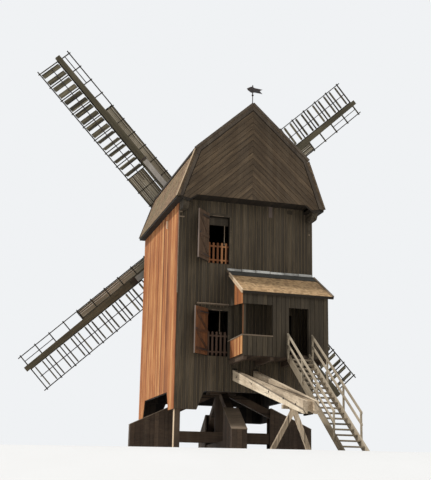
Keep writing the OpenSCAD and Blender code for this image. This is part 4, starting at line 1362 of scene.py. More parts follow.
@dataclass
class Roof:
    """The gambrel roof, its rear gable and its edges."""

    sizes: MillSizes
    shingle_w: float = 0.09
    shingle_l: float = 0.21
    shingle_t: float = 0.012
    shingle_gap: float = 0.004
    narrowest: float = 0.04
    exposure: float = 0.128
    tilt: float = math.radians(4.9)
    lower_lap: float = 0.1
    board_w: float = 0.19
    board_t: float = 0.022
    board_gap: float = 0.012
    board_l: float = 9.0
    board_mid: float = -2.5
    board_spare: float = 2.4
    gable_inset: float = 0.15
    drop_z: float = 10.0
    drop_x: float = 2.58
    level_x: float = 2.33
    ridge_board: Span = (0.17, 0.022)
    verge: Span = (0.06, 0.03)
    barge_edge: Span = (0.05, 0.1)
    eave_edge: Span = (0.03, 0.1)
    break_board: Span = (0.17, 0.04)

    def build(self) -> None:
        """Builds and dresses the roof."""
        angle = self.sizes.upper_angle
        for side, name in ((-1, "left"), (1, "right")):
            for slope, level in zip(self._slopes(side), ("lower", "upper")):
                self.shingles(f"{level}_shingles_{name}", slope, 20 + side, PALETTE.roof_shingle)
        self._gable()
        self._edges()
        slope_run = Vector((math.cos(angle), 0, -math.sin(angle)))
        # The rear gable's solid, which shows below its boards, takes painted shade.
        dress({"roof_lower": PALETTE.gable.material(Run.DEEP, 0.2),
               "roof_upper": PALETTE.gable.material(Run.DEEP, 0.2),
               "rear_gable": PALETTE.shade.material(Run.UP, 0.2),
               "barge_boards": PALETTE.barge.material(slope_run, 0.5)})

    def _slopes(self, side: int) -> tuple[Slope, Slope]:
        """Finds both slopes on one side.

        Args:
            side: -1 for the left, 1 for the right.

        Returns:
            The lower and the upper slope.
        """
        s = self.sizes
        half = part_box("roof_upper")[1].x
        low = (s.break_z - s.foot_z) / math.sin(s.lower_angle) - self.lower_lap
        high = half / math.cos(s.upper_angle)
        lower, upper = (
            Slope(Vector((side * x, s.roof_rear, z)), FRONT,
                  Vector((-side * math.cos(angle), 0, math.sin(angle))),
                  s.roof_front - s.roof_rear, length)
            for x, z, angle, length in ((s.eave_x, s.foot_z, s.lower_angle, low),
                                        (half, s.upper_z(half), s.upper_angle, high)))
        return lower, upper

    def shingles(self, name: str, slope: Slope, seed: int, finish: Shingle,
                 top: float = 0.0) -> None:
        """Covers a slope with rows of shingles.

        Args:
            name: The piece's name.
            slope: The slope.
            seed: The seed of their widths and tones.
            finish: Their finish.
            top: How far below the slope's upper edge the rows end.
        """
        stack = Stack(name, seed)
        chance = stack.chance
        rows = int((slope.height - top) / self.exposure)
        step = (slope.height - top - self.shingle_l) / (rows - 1)
        basis = Matrix((slope.along, slope.up, slope.out)).transposed().to_4x4()
        for row in range(rows):
            x = 0.0
            first = 0.5 if row % 2 else 1.0
            while x < slope.width - self.shingle_gap / 2:
                width = self.shingle_w * (0.75 + 0.5 * chance.random()) * first
                first = 1.0
                if slope.width - x - width < self.narrowest:
                    width = slope.width - x
                y = row * step + self.shingle_l / 2 + (chance.random() - 0.5) * 0.008
                tilt = Matrix.Rotation(-self.tilt * (0.85 + 0.3 * chance.random()), 4, "X")
                place = slope.point(x + width / 2, y, self.shingle_t * 1.1)
                stack.block(Matrix.Translation(place) @ basis @ tilt,
                            (width - self.shingle_gap, self.shingle_l, self.shingle_t),
                            tone=chance.random())
                x += width
        stack.finish(finish.material(slope.up), Slot.SHINGLES)

    def _gable(self) -> None:
        """Lays the boards of the rear gable parallel to the slopes, with chevrons in the middle."""
        s = self.sizes
        face_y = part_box("rear_gable")[0].y
        inset = s.roof_t + self.gable_inset
        angle = s.upper_angle
        level = Vector((0, face_y, s.gable_z))
        for side, name in ((-1, "left"), (1, "right")):
            along = Vector((-side * math.cos(angle), 0, math.sin(angle)))
            across = Vector((side * math.sin(angle), 0, math.cos(angle)))
            wall = Wall(Vector((0, face_y, s.ridge_z)), along, across, REAR)
            slope_low = self._slope_plane(side, inset)
            corner = Vector((side * self.drop_x, face_y, self.drop_z))
            end = Vector((side * self.level_x, face_y, s.gable_z))
            foot = Vector((side * s.lower_x(s.foot_z, s.roof_t), face_y, s.foot_z))
            bottom = self._line_plane(corner, foot, DOWN)
            inner = self._line_plane(end, corner, LEFT * side + DOWN)
            cells = (((level, LEFT * side), slope_low, (level, DOWN)),
                     (inner, slope_low, bottom, (level, UP)))
            stack = Stack(f"gable_boards_{name}", 30 + side)
            last = ((s.ridge_z - self.drop_z) / math.cos(angle)
                    + self.board_spare * math.sin(angle))
            for k in range(int((last - inset) / self.board_w) + 1):
                v = -inset - (k + 0.5) * self.board_w
                tone = stack.chance.random()
                for cell in cells:
                    self._gable_board(stack, wall, v, cell, tone)
            stack.finish(PALETTE.gable.material(along), Slot.DARK, ROUNDING)

    def _gable_board(self, stack: Stack, wall: Wall, v: float, cell: tuple[Plane, ...],
                     tone: float) -> None:
        """Adds one board of the gable, cut to a cell, if any of it is left.

        Args:
            stack: The piece that takes it.
            wall: The gable's plane, turned along the boards.
            v: The place of its middle across the boards.
            cell: The planes that bound the cell.
            tone: Its tone.
        """
        small = bmesh.new()
        size = Matrix.Diagonal((self.board_l, self.board_w - self.board_gap, self.board_t, 1.0))
        place = wall.matrix(self.board_mid, v, self.board_t / 2)
        bmesh.ops.create_cube(small, size=1.0, matrix=place @ size)
        cut_away(small, cell)
        if len(small.faces) < 4:
            small.free()
            return
        stack.stamp(small, tone)

    def _slope_plane(self, side: int, inset: float) -> Plane:
        """Finds the plane of the lower slope, set in by a depth.

        Args:
            side: -1 for the left, 1 for the right.
            inset: The depth.

        Returns:
            A point and the outward normal.
        """
        s = self.sizes
        normal = Vector((side * math.sin(s.lower_angle), 0, math.cos(s.lower_angle)))
        return Vector((side * s.lower_x(s.foot_z, inset), 0, s.foot_z)), normal

    @staticmethod
    def _line_plane(first: Vector, second: Vector, outward: Vector) -> Plane:
        """Finds the level-running plane through two points of the gable.

        Args:
            first: One point.
            second: The other point.
            outward: The side that its normal points to.

        Returns:
            A point and the outward normal.
        """
        normal = (second - first).cross(FRONT).normalized()
        return first, normal if normal.dot(outward) > 0 else -normal

    def _edges(self) -> None:
        """Adds the ridge, break and eave boards, the verges and the barge boards' edges; the break
        boards carry painted shade.
        """
        s = self.sizes
        ridge = Stack("ridge_boards", 41)
        pale = Stack("verge_laths", 42)
        dark = Stack("dark_verge_boards", 43)
        eaves = Stack("eave_edges", 44)
        drips = Stack("break_boards", 45)
        for side in (-1, 1):
            lower, upper = self._slopes(side)
            y = upper.height - 0.075
            upper.lath(ridge, (0, y), (upper.width, y), 0.04, self.ridge_board, 0.5)
            for x, stack in ((0.03, pale if side < 0 else dark), (lower.width - 0.03, dark)):
                lower.lath(stack, (x, -0.01), (x, lower.height), 0.035, self.verge, 0.5)
            for x in (0.0, lower.width):
                upper.lath(dark, (x, -0.01), (x, upper.height), 0.0, self.barge_edge, 0.8)
            x, z = side * (s.eave_x - 0.02), s.foot_z - 0.02
            eaves.bar((x, s.roof_rear + 0.1, z), (x, s.roof_front, z), *self.eave_edge, UP, 0.5)
            y = lower.height - 0.07
            lower.lath(drips, (0.07, y), (lower.width - 0.01, y), 0.045, self.break_board)
        ridge.finish(PALETTE.barge.material(Run.DEEP), Slot.DARK, ROUNDING)
        pale.finish(PALETTE.verge.material(Run.UP), Slot.PALE, ROUNDING)
        dark.finish(PALETTE.barge.material(Run.ACROSS), Slot.DARK, ROUNDING)
        eaves.finish(PALETTE.dark_wall.material(Run.DEEP), Slot.DARK, ROUNDING)
        # The break boards take painted shade, for the shadow under the upper slope's lower edge.
        drips.finish(PALETTE.shade.material(Run.DEEP), Slot.DARK, ROUNDING)


@dataclass
class Leaf:
    """A door leaf that stands open: its boards, ledges, brace and pale free edge."""

    name: str
    seed: int
    hinge: Vector
    open_angle: float
    width: float
    height: float
    finish: Timber
    thickness: float = 0.04
    boards: int = 5
    board_t: float = 0.012
    board_gap: float = 0.01
    hinge_gap: float = 0.025
    ledge: Span = (0.13, 0.026)
    ledge_in: float = 0.2
    brace: Span = (0.11, 0.024)
    edge_t: float = 0.012
    strap: Span = (0.035, 0.006)
    strap_share: float = 0.7
    strap_bolts: tuple[float, ...] = (0.1, 0.25, 0.4, 0.55)
    latch: Span = (0.05, 0.03)

    def __post_init__(self) -> None:
        """Works out its place, where its inner face looks along Y, and its directions."""
        self.place = Matrix.Translation(self.hinge) @ Matrix.Rotation(-self.open_angle, 4, "Z")
        self.inner, self.along = (self.place.to_3x3() @ way for way in (FRONT, RIGHT))
        self.ledge_y = self.thickness / 2 + 0.024

    def at(self, x: float, y: float, z: float) -> Vector:
        """Returns the point at x from the hinges, y out of the inner face and z up."""
        return self.place @ Vector((x, y, z))

    def build(self) -> None:
        """Builds the boards and fittings of the leaf."""
        self._boards()
        self._ledges()
        self._edge()
        self._straps()
        log.info("leaf %s stands open by %.0f degrees", self.name, math.degrees(self.open_angle))

    def _boards(self) -> None:
        """Nails upright boards to both faces."""
        stack = Stack(f"{self.name}_boards", self.seed)
        step = (self.width - 0.03) / self.boards
        for k in range(self.boards):
            x = self.hinge_gap + (k + 0.5) * step
            for face in (-1, 1):
                y = face * (self.thickness + self.board_t) / 2
                stack.bar(self.at(x, y, 0.01), self.at(x, y, self.height - 0.01),
                          step - self.board_gap, self.board_t, self.inner)
        stack.finish(self.finish.material(Run.UP), Slot.DARK, FINE_ROUNDING)

    def _ledges(self) -> None:
        """Adds three ledges and two braces to the inner face."""
        stack = Stack(f"{self.name}_ledges", self.seed + 1)
        y = self.ledge_y
        middle = self.height / 2
        for z in (self.ledge_in, middle, self.height - self.ledge_in):
            stack.bar(self.at(0.04, y, z), self.at(self.width - 0.04, y, z), *self.ledge,
                      self.inner, 0.1)
        clear = self.ledge_in + 0.08
        for low, high in ((clear, middle - 0.08), (middle + 0.08, self.height - clear)):
            stack.bar(self.at(0.1, y, low), self.at(self.width - 0.1, y, high), *self.brace,
                      self.inner, 0.0)
        stack.finish(self.finish.material(self.along), Slot.DARK, ROUNDING)

    def _edge(self) -> None:
        """Adds the pale lath on the free edge."""
        stack = Stack(f"{self.name}_edge", self.seed + 2)
        x = self.width + self.edge_t / 2
        stack.bar(self.at(x, 0, 0.005), self.at(x, 0, self.height - 0.005), self.edge_t,
                  self.thickness + 0.02, self.inner, 0.4)
        stack.finish(PALETTE.leaf_edge.material(Run.UP), Slot.PALE, FINE_ROUNDING)

    def _straps(self) -> None:
        """Adds the hinge straps with their bolts, and the latch."""
        stack = Stack(f"{self.name}_straps", self.seed + 3)
        y = self.ledge_y
        for z in (self.ledge_in, self.height - self.ledge_in):
            stack.bar(self.at(0.0, y + 0.016, z),
                      self.at(self.width * self.strap_share, y + 0.016, z), *self.strap,
                      self.inner)
            for x in self.strap_bolts:
                stack.rod(self.at(x, y + 0.016, z), self.at(x, y + 0.025, z), 0.011, 8)
        latch = self.at(self.width - 0.03, y + 0.01, self.height * 0.52)
        stack.bar(latch - self.along * 0.06, latch + self.along * 0.03, *self.latch, self.inner)
        stack.finish(PALETTE.iron.material(), Slot.IRON)


@dataclass
class Doors:
    """The two upper doorways in the rear wall."""

    sizes: MillSizes
    hinge_out: float = 0.022
    hinge_x: Span = (-1.574, -1.602)
    open_angles: Span = (math.radians(142), math.radians(133))
    widths: Span = (0.824, 0.852)
    pickets: int = 5
    picket_rows: tuple[Triple, ...] = ((-1.568, 0.836, 4.807), (-1.596, 0.864, 8.44))
    picket_in: float = 0.05
    picket_y: Span = (-3.241, -3.214)
    head_r: float = 0.04
    # The railings turn darker below these heights, which covers the lower railing.
    low_band_z: Span = (6.6, 6.5)
    low_band_paint: Colour = colour(80, 62, 50)

    def build(self) -> None:
        """Builds and dresses the leaves and the railings."""
        y = -self.sizes.half_d - self.hinge_out
        finishes = (PALETTE.leaf, PALETTE.upper_leaf)
        for k, name in enumerate(("lower", "upper")):
            low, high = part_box(f"{name}_door")
            Leaf(f"{name}_leaf", 51 + 10 * k, Vector((self.hinge_x[k], y, low.z)),
                 self.open_angles[k], self.widths[k], high.z - low.z, finishes[k]).build()
        finish = banded(PALETTE.picket.material(Run.UP, 0.17), *self.low_band_z, self.low_band_paint)
        dress({"lower_door": PALETTE.inside.material(Run.UP, 0.2),
               "upper_door": PALETTE.inside.material(Run.UP, 0.2),
               "door_rails": finish})
        self._heads(finish)

    def _heads(self, finish: Material) -> None:
        """Rounds the heads of the pickets.

        Args:
            finish: The finish of the railings.
        """
        heads = Stack("picket_heads", 65)
        for start, width, top in self.picket_rows:
            for k in range(self.pickets):
                x = start + self.picket_in + (width - 0.16) * k / (self.pickets - 1)
                heads.rod(*(Vector((x, y, top)) for y in self.picket_y), self.head_r, 16)
        heads.finish(finish, Slot.FRAME)


@dataclass
class Porch:
    """The roofed porch at the back of the mill."""

    sizes: MillSizes
    roof: Roof
    boarding: Boarding = Boarding(width=0.19, thickness=0.018)
    bay: Hole = Hole((4.46, 5.68), (-0.75, 0.5))
    entry: Hole = Hole((3.5, 5.62), (1.15, 1.95))
    front_over: Span = (0.04, 0.058)
    ledge_low: float = 5.887
    fascia_low: float = 5.68
    eave_z: float = 6.13
    # Shares of the panel and of the parapet, measured from the wall, that are painted as shadow.
    panel_shadow_share: float = 0.43
    parapet_shadow_share: float = 0.16
    rail: Span = (0.09, 0.05)
    post_face: Span = (0.08, 0.012)
    shingle_top: float = 0.52
    verge_w: float = 0.045
    worn_l: float = 0.4
    edge: Span = (0.03, 0.12)
    fascia: Span = (0.03, 0.09)
    apron: Span = (0.54, 0.012)
    apron_drop: float = 0.28
    sheets: int = 6
    sheet_h: float = 0.14
    sheet_t: float = 0.008
    sheet_gap: float = 0.012

    def __post_init__(self) -> None:
        """Reads the corners of the solids of its front and its sides."""
        self.front, self.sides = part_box("porch_front"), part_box("porch_sides")

    def build(self) -> None:
        """Builds and dresses the porch."""
        self._front()
        self._left()
        self._rail()
        self._roof()
        dress({"porch_front": PALETTE.inside.material(Run.UP, 0.2),
               "porch_sides": PALETTE.inside.material(Run.UP, 0.2),
               "porch_frame": PALETTE.dark_wall.material(Run.UP, 0.5),
               "porch_floor": PALETTE.trestle.material(FRONT, 0.2),
               "porch_roof": PALETTE.trestle.material(FRONT, 0.2)})

    def _front(self) -> None:
        """Nails the boards of the front and the right side."""
        front, sides = self.front, self.sides
        x0, x1 = front[0].x - self.front_over[0], front[1].x + self.front_over[1]
        y0, seat = front[0].y, front[1].z
        column = Column((x0, x1), (front[0].z,) * 2, (seat,) * 2)
        nail("porch_front_boards", 71, self.boarding, Wall.upright(FRONT * y0, RIGHT, REAR),
             (column,), PALETTE.shaded_wall, Slot.DARK, (self.bay, self.entry))
        column = Column((y0, -self.sizes.half_d), (sides[0].z,) * 2, (seat, sides[1].z))
        nail("porch_right_boards", 72, self.boarding,
             Wall.upright(RIGHT * sides[1].x, FRONT, RIGHT), (column,), PALETTE.shaded_wall,
             Slot.DARK)

    def _left(self) -> None:
        """Nails the boards of the left side, which are dark next to the wall: painted shadow of the
        open upper leaf and of the wall's corner.
        """
        front, sides = self.front, self.sides
        y0, wall_y = front[0].y, -self.sizes.half_d
        left = Stack("porch_left_boards", 73)
        # These boards paint the shadow of the open upper leaf on the panel and of the wall's corner
        # on the parapet.
        dark = Stack("porch_left_shadow_boards", 70)
        wall = Wall.upright(RIGHT * sides[0].x, FRONT, LEFT)
        panel = Column((y0, wall_y), (self.fascia_low, self.ledge_low), (front[1].z, sides[1].z))
        lower = Column((y0, wall_y), (sides[0].z,) * 2, (self.bay.u[0],) * 2)
        for column, share in ((panel, self.panel_shadow_share), (lower, self.parapet_shadow_share)):
            border = wall_y - share * (wall_y - y0)
            for stack, v in ((left, (y0, border)), (dark, (border, wall_y))):
                part = Column(v, (column.low_at(v[0]), column.low_at(v[1])),
                              (column.high_at(v[0]), column.high_at(v[1])))
                self.boarding.lay(stack, wall, (part,))
        left.finish(PALETTE.sunlit_wall.material(Run.UP), Slot.ORANGE, ROUNDING)
        dark.finish(PALETTE.shaded_wall.material(Run.UP), Slot.DARK, ROUNDING)

    def _rail(self) -> None:
        """Adds the rail of the parapet, and the orange face of the corner post, which paints
        sunlight on its left side.
        """
        front, sides = self.front, self.sides
        rail = Stack("parapet_rail", 74)
        x, y, z = sides[0].x, front[0].y, self.bay.u[0] + 0.015
        rail.bar((x + 0.01, y - 0.03, z), (x + 0.01, -self.sizes.half_d, z), *self.rail, UP, 0.6)
        rail.bar((x - 0.03, y + 0.01, z), (self.bay.v[1], y + 0.01, z), *self.rail, UP, 0.4)
        rail.finish(PALETTE.case_edge.material(Run.ACROSS), Slot.FRAME, BROAD_ROUNDING)
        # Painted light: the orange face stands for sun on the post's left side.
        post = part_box("porch_frame")[0] + Vector((-0.006, 0.05, 0))
        face = Stack("porch_post_lit_face", 69)
        face.bar((post.x, post.y, self.bay.u[0]),
                 (post.x, post.y, self.fascia_low + 0.02), *self.post_face, LEFT, 0.2)
        face.finish(PALETTE.picket.material(Run.UP), Slot.ORANGE)

    def _roof(self) -> None:
        """Covers the porch roof and dresses its edges."""
        low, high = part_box("porch_roof")
        rise = high.z - self.eave_z
        angle = math.atan2(rise, -self.sizes.half_d - low.y)
        up = Vector((0, math.cos(angle), math.sin(angle)))
        slope = Slope(Vector((low.x, low.y, self.eave_z)), RIGHT, up, high.x - low.x,
                      rise / math.sin(angle))
        self.roof.shingles("porch_shingles", slope, 75, PALETTE.shingle, self.shingle_top)
        pale = Stack("porch_verges", 76)
        turn = slope.height - self.worn_l
        for n, depth, tone in ((0.045, 0.05, 0.8), (-0.04, 0.08, 0.1)):
            slope.lath(pale, (0.01, -0.03), (0.01, turn), n, (self.verge_w, depth), tone)
        pale.finish(PALETTE.verge.material(up), Slot.PALE, ROUNDING)
        worn = Stack("porch_worn_edges", 68)
        top = slope.height - 0.03
        slope.lath(worn, (0.01, turn), (0.01, top), 0.03, (self.verge_w, 0.08), 0.2)
        x = slope.width - 0.04
        slope.lath(worn, (x, -0.02), (x, slope.height - 0.1), 0.045, (0.08, 0.03), 0.9)
        worn.finish(PALETTE.case_edge.material(up), Slot.FRAME, ROUNDING)
        # The eave fascia and the right edge take painted shade.
        dark = Stack("porch_edges", 77)
        x, y = slope.width - 0.01, -0.012
        slope.lath(dark, (x, -0.02), (x, top), 0.0, self.edge, 0.4)
        slope.lath(dark, (0, y), (slope.width, y), -0.035, self.fascia, 0.3)
        dark.finish(PALETTE.shade.material(Run.ACROSS), Slot.DARK, ROUNDING)
        apron = Stack("porch_apron", 78)
        y = slope.height - self.apron_drop
        slope.lath(apron, (0.02, y), (slope.width - 0.02, y), 0.03, self.apron, 0.5)
        apron.finish(PALETTE.lead.material(), Slot.IRON)
        self._flashing(low.x, min(high.x, self.sizes.half_w), high.z + 0.05)

    def _flashing(self, left: float, right: float, z: float) -> None:
        """Nails the sheets that cover the joint of roof and wall.

        Args:
            left: Where the first sheet starts.
            right: Where the last sheet ends.
            z: The height of their middles.
        """
        strip = Stack("porch_flashing", 79)
        wall_y = -self.sizes.half_d - 0.03
        step = (right - left) / self.sheets
        for k in range(self.sheets):
            start = Vector((left + step * k + self.sheet_gap, wall_y - 0.004 * (k % 2),
                            z + 0.008 * (k % 3 - 1)))
            end = start + Vector((step - 2 * self.sheet_gap, 0, -0.006))
            strip.bar(start, end, self.sheet_h - 0.02 * (k / self.sheets), self.sheet_t, REAR)
        strip.finish(PALETTE.zinc.material(), Slot.IRON)


@dataclass(frozen=True)
class Arm:
    """One arm of the trestle inside its boarded case."""

    direction: Vector
    side: Vector
    end: float
    slope: float


@dataclass
class Trestle:
    """The trestle: cased arms, cross trees, bars, post and piers."""

    turn: float = math.radians(-5.5)
    arm: float = 3.84
    case_len: float = 1.75
    heads: Span = (3.12, 3.077)
    ends: Span = (1.33, 1.035)
    case_w: float = 0.58
    cap_over: float = 0.05
    cap_t: float = 0.028
    foot: float = 0.06
    bolt_z: Span = (0.45, 0.75)
    bolt_r: float = 0.02
    boarding: Boarding = Boarding(width=0.21, thickness=0.014, gap=0.01)

    def build(self) -> None:
        """Builds and dresses the trestle."""
        caps = Stack("case_caps", 81)
        sides = Stack("case_boards", 82)
        bolts = Stack("case_bolts", 83)
        for k in range(4):
            direction = Matrix.Rotation(self.turn + math.pi / 2 * k, 3, "Z") @ RIGHT
            head, end = self.heads[k % 2], self.ends[k % 2]
            arm = Arm(direction, Vector((-direction.y, direction.x, 0)), end,
                      (head - end) / self.arm)
            self._cap(caps, arm)
            self._sides(sides, bolts, arm)
        caps.finish(PALETTE.case_edge.material(Run.ACROSS), Slot.TRESTLE,
                    BROAD_ROUNDING, Body.TRESTLE)
        sides.finish(PALETTE.trestle.material(Run.ACROSS), Slot.TRESTLE, ROUNDING, Body.TRESTLE)
        bolts.finish(PALETTE.iron.material(), Slot.IRON, body=Body.TRESTLE)
        self._prop_face()
        turned = Matrix.Rotation(self.turn, 3, "Z")
        timber = PALETTE.trestle
        dress({"piers": PALETTE.stone.material(),
               "cross_tree_lower": timber.material(turned @ FRONT, 0.6),
               "cross_tree_upper": timber.material(turned @ RIGHT, 0.6),
               "quarter_bars": timber.material(turned @ RIGHT, 0.4),
               "arm_casings": timber.material(Run.UP, 0.22),
               "post": timber.material(Run.UP, 0.6),
               "saddle": timber.material(Run.ACROSS, 0.3),
               "corner_prop": timber.material(Run.UP, 0.5)})

    @staticmethod
    def _prop_face() -> None:
        """Adds a pale face on the left of the loose corner prop, painted as sunlight on that side.
        """
        low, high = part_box("corner_prop")
        stack = Stack("prop_lit_face", 84)
        x, y = low.x - 0.004, (low.y + high.y) / 2
        # Painted light: the pale face stands for sun on the prop's left side.
        stack.bar((x, y, low.z), (x, y, high.z), high.y - low.y - 0.01, 0.008, LEFT, 0.5)
        stack.finish(PALETTE.verge.material(Run.UP), Slot.TRESTLE, body=Body.TRESTLE)

    def _cap(self, caps: Stack, arm: Arm) -> None:
        """Lays the cap board on the sloping top of one arm's case.

        Args:
            caps: The piece that takes it.
            arm: The arm.
        """
        start_r = self.arm - self.case_len
        low = arm.direction * (self.arm + 0.02) + UP * (arm.end + 0.012)
        high = arm.direction * start_r + UP * (arm.end + self.case_len * arm.slope + 0.02)
        out = arm.side.cross(high - low).normalized()
        if out.z < 0:
            out = -out
        caps.bar(low, high, self.case_w + self.cap_over, self.cap_t, out, 0.5)

    def _sides(self, boards: Stack, bolts: Stack, arm: Arm) -> None:
        """Nails upright boards to both sides and the end of one arm's case.

        Args:
            boards: The piece that takes the boards.
            bolts: The piece that takes the bolts.
            arm: The arm.
        """
        start_r = self.arm - self.case_len - 0.04
        head = arm.end + (self.arm - start_r) * arm.slope
        column = Column((start_r, self.arm), (self.foot, self.foot), (head, arm.end))
        for sign in (-1, 1):
            out = arm.side * sign
            self.boarding.lay(boards, Wall.upright(out * self.case_w / 2, arm.direction, out),
                              (column,))
            for r in (start_r + 0.25, self.arm - 0.2):
                for z in self.bolt_z:
                    spot = arm.direction * r + out * (self.case_w / 2 + 0.012) + UP * z
                    bolts.rod(spot, spot + out * 0.022, self.bolt_r, 8)
        half = self.case_w / 2 + self.boarding.thickness
        self.boarding.lay(boards, Wall.upright(arm.direction * self.arm, arm.side,
                                               arm.direction),
                          (Column((-half, half), (self.foot,) * 2, (arm.end,) * 2),))


@dataclass
class Tail:
    """Tail beams, tail prop and stair."""

    slope: float = math.radians(14)
    plan: float = math.atan2(0.23, 7.1)
    stair_slope: float = math.radians(36)
    root: Triple = (0.43, -3.275, 3.15)
    bolts: tuple[float, ...] = (0.5, 2.2, 4.0, 5.4, 6.5)
    bolt_x: float = 0.08
    bolt_r: float = 0.03

    def build(self) -> None:
        """Builds and dresses the tail."""
        run = Vector((0, -math.cos(self.slope), -math.sin(self.slope)))
        stair_run = Vector((0, -math.cos(self.stair_slope), -math.sin(self.stair_slope)))
        stair = PALETTE.stair
        dress({"tail_beams": PALETTE.pale.material(run, 0.5),
               "tail_prop": PALETTE.pale.material(Run.UP, 0.4),
               "stair_treads": stair.material(Run.ACROSS, 0.3),
               "stair_stringers": stair.material(stair_run, 0.5),
               "stair_rails": stair.material(stair_run, 0.4)})
        iron = Stack("tail_bolts", 91)
        for distance in self.bolts:
            x = self.root[0] - distance * math.tan(self.plan) + self.bolt_x
            y = self.root[1] - distance
            z = self.root[2] - distance * math.tan(self.slope)
            for sign in (-1, 1):
                outer = Vector((sign * x, y, z))
                iron.rod(outer - RIGHT * sign * 0.01, outer + RIGHT * sign * 0.02, self.bolt_r, 8)
        iron.finish(PALETTE.iron.material(), Slot.IRON)


@dataclass(frozen=True)
class Closing:
    """The boards that close the inner part of one side of a sail."""

    start: float
    step: float
    count: int
    open_bays: int


@dataclass
class Sail:
    """One sail: the boards, rods and irons on its frame and on its arm of a stock."""

    number: int
    turn: float
    set_back: float
    hub: Triple = (0, 4.085, 11.12)
    tilt: float = math.radians(4)
    reach: float = 10.72
    root: float = 0.64
    stock_w: Span = (0.36, 0.23)
    stock_t: Span = (0.30, 0.17)
    outer_bar: float = 10.52
    bar_step: float = 0.817
    bays: int = 10
    shutter_bays: int = 8
    pitches: Span = (math.radians(2), math.radians(7))
    closings: tuple[Closing, ...] = (Closing(-0.565, 0.0856, 5, 4),
                                     Closing(0.26, 0.0975, 10, 8))
    board_n: float = 0.015
    board_gap: float = 0.008
    lath_n: float = 0.019
    lath_w: float = 0.024
    board_t: float = 0.006
    rod: Span = (0.04, 0.016)
    rod_v: float = 0.66
    rod_lift: float = 0.135
    crank: Span = (0.03, 0.012)
    strap: Span = (0.06, 0.01)
    strap_r: tuple[float, ...] = (1.1, 2.0, 3.1, 4.3)
    facing: Span = (0.26, 0.016)
    facing_r: Span = (1.2, 4.2)

    def __post_init__(self) -> None:
        """Works out its place: X runs along its stock, Z back along the windshaft."""
        self.place = (Matrix.Translation(self.hub)
                      @ Matrix.Rotation(math.pi / 2 + self.tilt, 4, "X")
                      @ Matrix.Translation((0, 0, self.set_back))
                      @ Matrix.Rotation(math.radians(self.turn), 4, "Z"))
        self.along, self.across, self.out = (
            self.place.to_3x3() @ way for way in (RIGHT, FRONT, UP))

    def pitch(self, r: float) -> float:
        """Finds the warp of the sail.

        Args:
            r: The distance from the windshaft.

        Returns:
            The tangent of the pitch there.
        """
        tip, heel = (math.tan(angle) for angle in self.pitches)
        length = self.bays * self.bar_step
        return tip + (self.outer_bar - r) / length * (heel - tip)

    def point(self, r: float, v: float, n: float = 0.0) -> Vector:
        """Returns the point at r along the sail, v across its warp and n behind it."""
        return self.place @ Vector((r, v, v * self.pitch(r) + n))

    def bar_r(self, bays: float) -> float:
        """Returns the distance of the bar that lies a number of bays from the outer one."""
        return self.outer_bar - bays * self.bar_step

    def build(self) -> None:
        """Builds what the solids of the sail leave out."""
        self._boards()
        self._rods()
        self._straps()
        self._facing()

    def dress_solids(self) -> None:
        """Finishes its frame and shutters, and with the first two sails a stock."""
        k = self.number
        dress({f"sail_{k}": PALETTE.sail.material(self.along, 0.1, self.across),
               f"shutters_{k}": PALETTE.shutter.material(self.across, 0.083, self.along)})
        if k <= 2:
            dress({f"stock_{'ab'[k - 1]}": PALETTE.stock.material(self.along, 0.9)})

    def _boards(self) -> None:
        """Lays boards and bleached laths on the back of its closed parts."""
        boards = Stack(f"sail_boards_{self.number}", 129 + self.number)
        laths = Stack(f"sail_laths_{self.number}", 139 + self.number)
        heel = self.bar_r(self.bays) - 0.15
        for part in self.closings:
            for i in range(part.count):
                strips = [(boards, i + 0.5, part.step - self.board_gap, self.board_n)]
                if i:
                    strips.append((laths, i, self.lath_w, self.lath_n))
                for stack, steps, wide, n in strips:
                    v = part.start + steps * part.step
                    ends = (self.point(r, v, n) for r in (heel, self.bar_r(part.open_bays)))
                    stack.bar(*ends, wide, self.board_t, self.out)
        boards.finish(PALETTE.sail_board.material(self.along), Slot.SAIL, body=Body.SAILS)
        laths.finish(PALETTE.sail_lath.material(self.along), Slot.SAIL, body=Body.SAILS)

    def _rods(self) -> None:
        """Adds the rod that works its shutters, with a small crank on each."""
        stack = Stack(f"striking_rod_{self.number}", 99 + self.number)
        v, lift = self.rod_v, self.rod_lift
        ends = (self.point(r, v, lift)
                for r in (self.bar_r(self.shutter_bays) - 0.5, self.outer_bar - 0.1))
        stack.bar(*ends, *self.rod, self.out, 0.4)
        for k in range(2 * self.shutter_bays):
            r = self.bar_r(k / 2 + 0.25)
            stack.bar(self.point(r, v), self.point(r, v, lift) + self.along * 0.02,
                      *self.crank, self.across, 0.3)
        stack.finish(PALETTE.iron.material(), Slot.IRON, body=Body.SAILS)

    def _straps(self) -> None:
        """Adds iron straps round the inner part of its stock."""
        stack = Stack(f"stock_straps_{self.number}", 109 + self.number)
        for r in self.strap_r:
            share = (r - self.root) / (self.reach - self.root)
            half_w, half_t = ((size[0] + (size[1] - size[0]) * share) / 2 + 0.006
                              for size in (self.stock_w, self.stock_t))
            back, over = half_t + 0.062, half_w + 0.005
            for sign in (-1, 1):
                ends = (self.place @ Vector((r, sign * half_w, z)) for z in (-half_t, back))
                stack.bar(*ends, *self.strap, self.across)
            for z in (-half_t, back):
                ends = (self.place @ Vector((r, v, z)) for v in (-over, over))
                stack.bar(*ends, *self.strap, self.out)
        stack.finish(PALETTE.iron.material(), Slot.IRON, body=Body.SAILS)

    def _facing(self) -> None:
        """Adds the smooth grey plank on the back of its stock near the windshaft."""
        stack = Stack(f"stock_facing_{self.number}", 119 + self.number)
        slope = (self.stock_t[0] - self.stock_t[1]) / 2 / (self.reach - self.root)
        top = self.stock_t[0] / 2 + 0.068
        start, end = (self.place @ Vector((r, 0, top - slope * (r - 0.48))) for r in self.facing_r)
        stack.bar(start, end, *self.facing, self.out)
        stack.finish(PALETTE.facing.material(end - start), Slot.SAIL, ROUNDING, Body.SAILS)


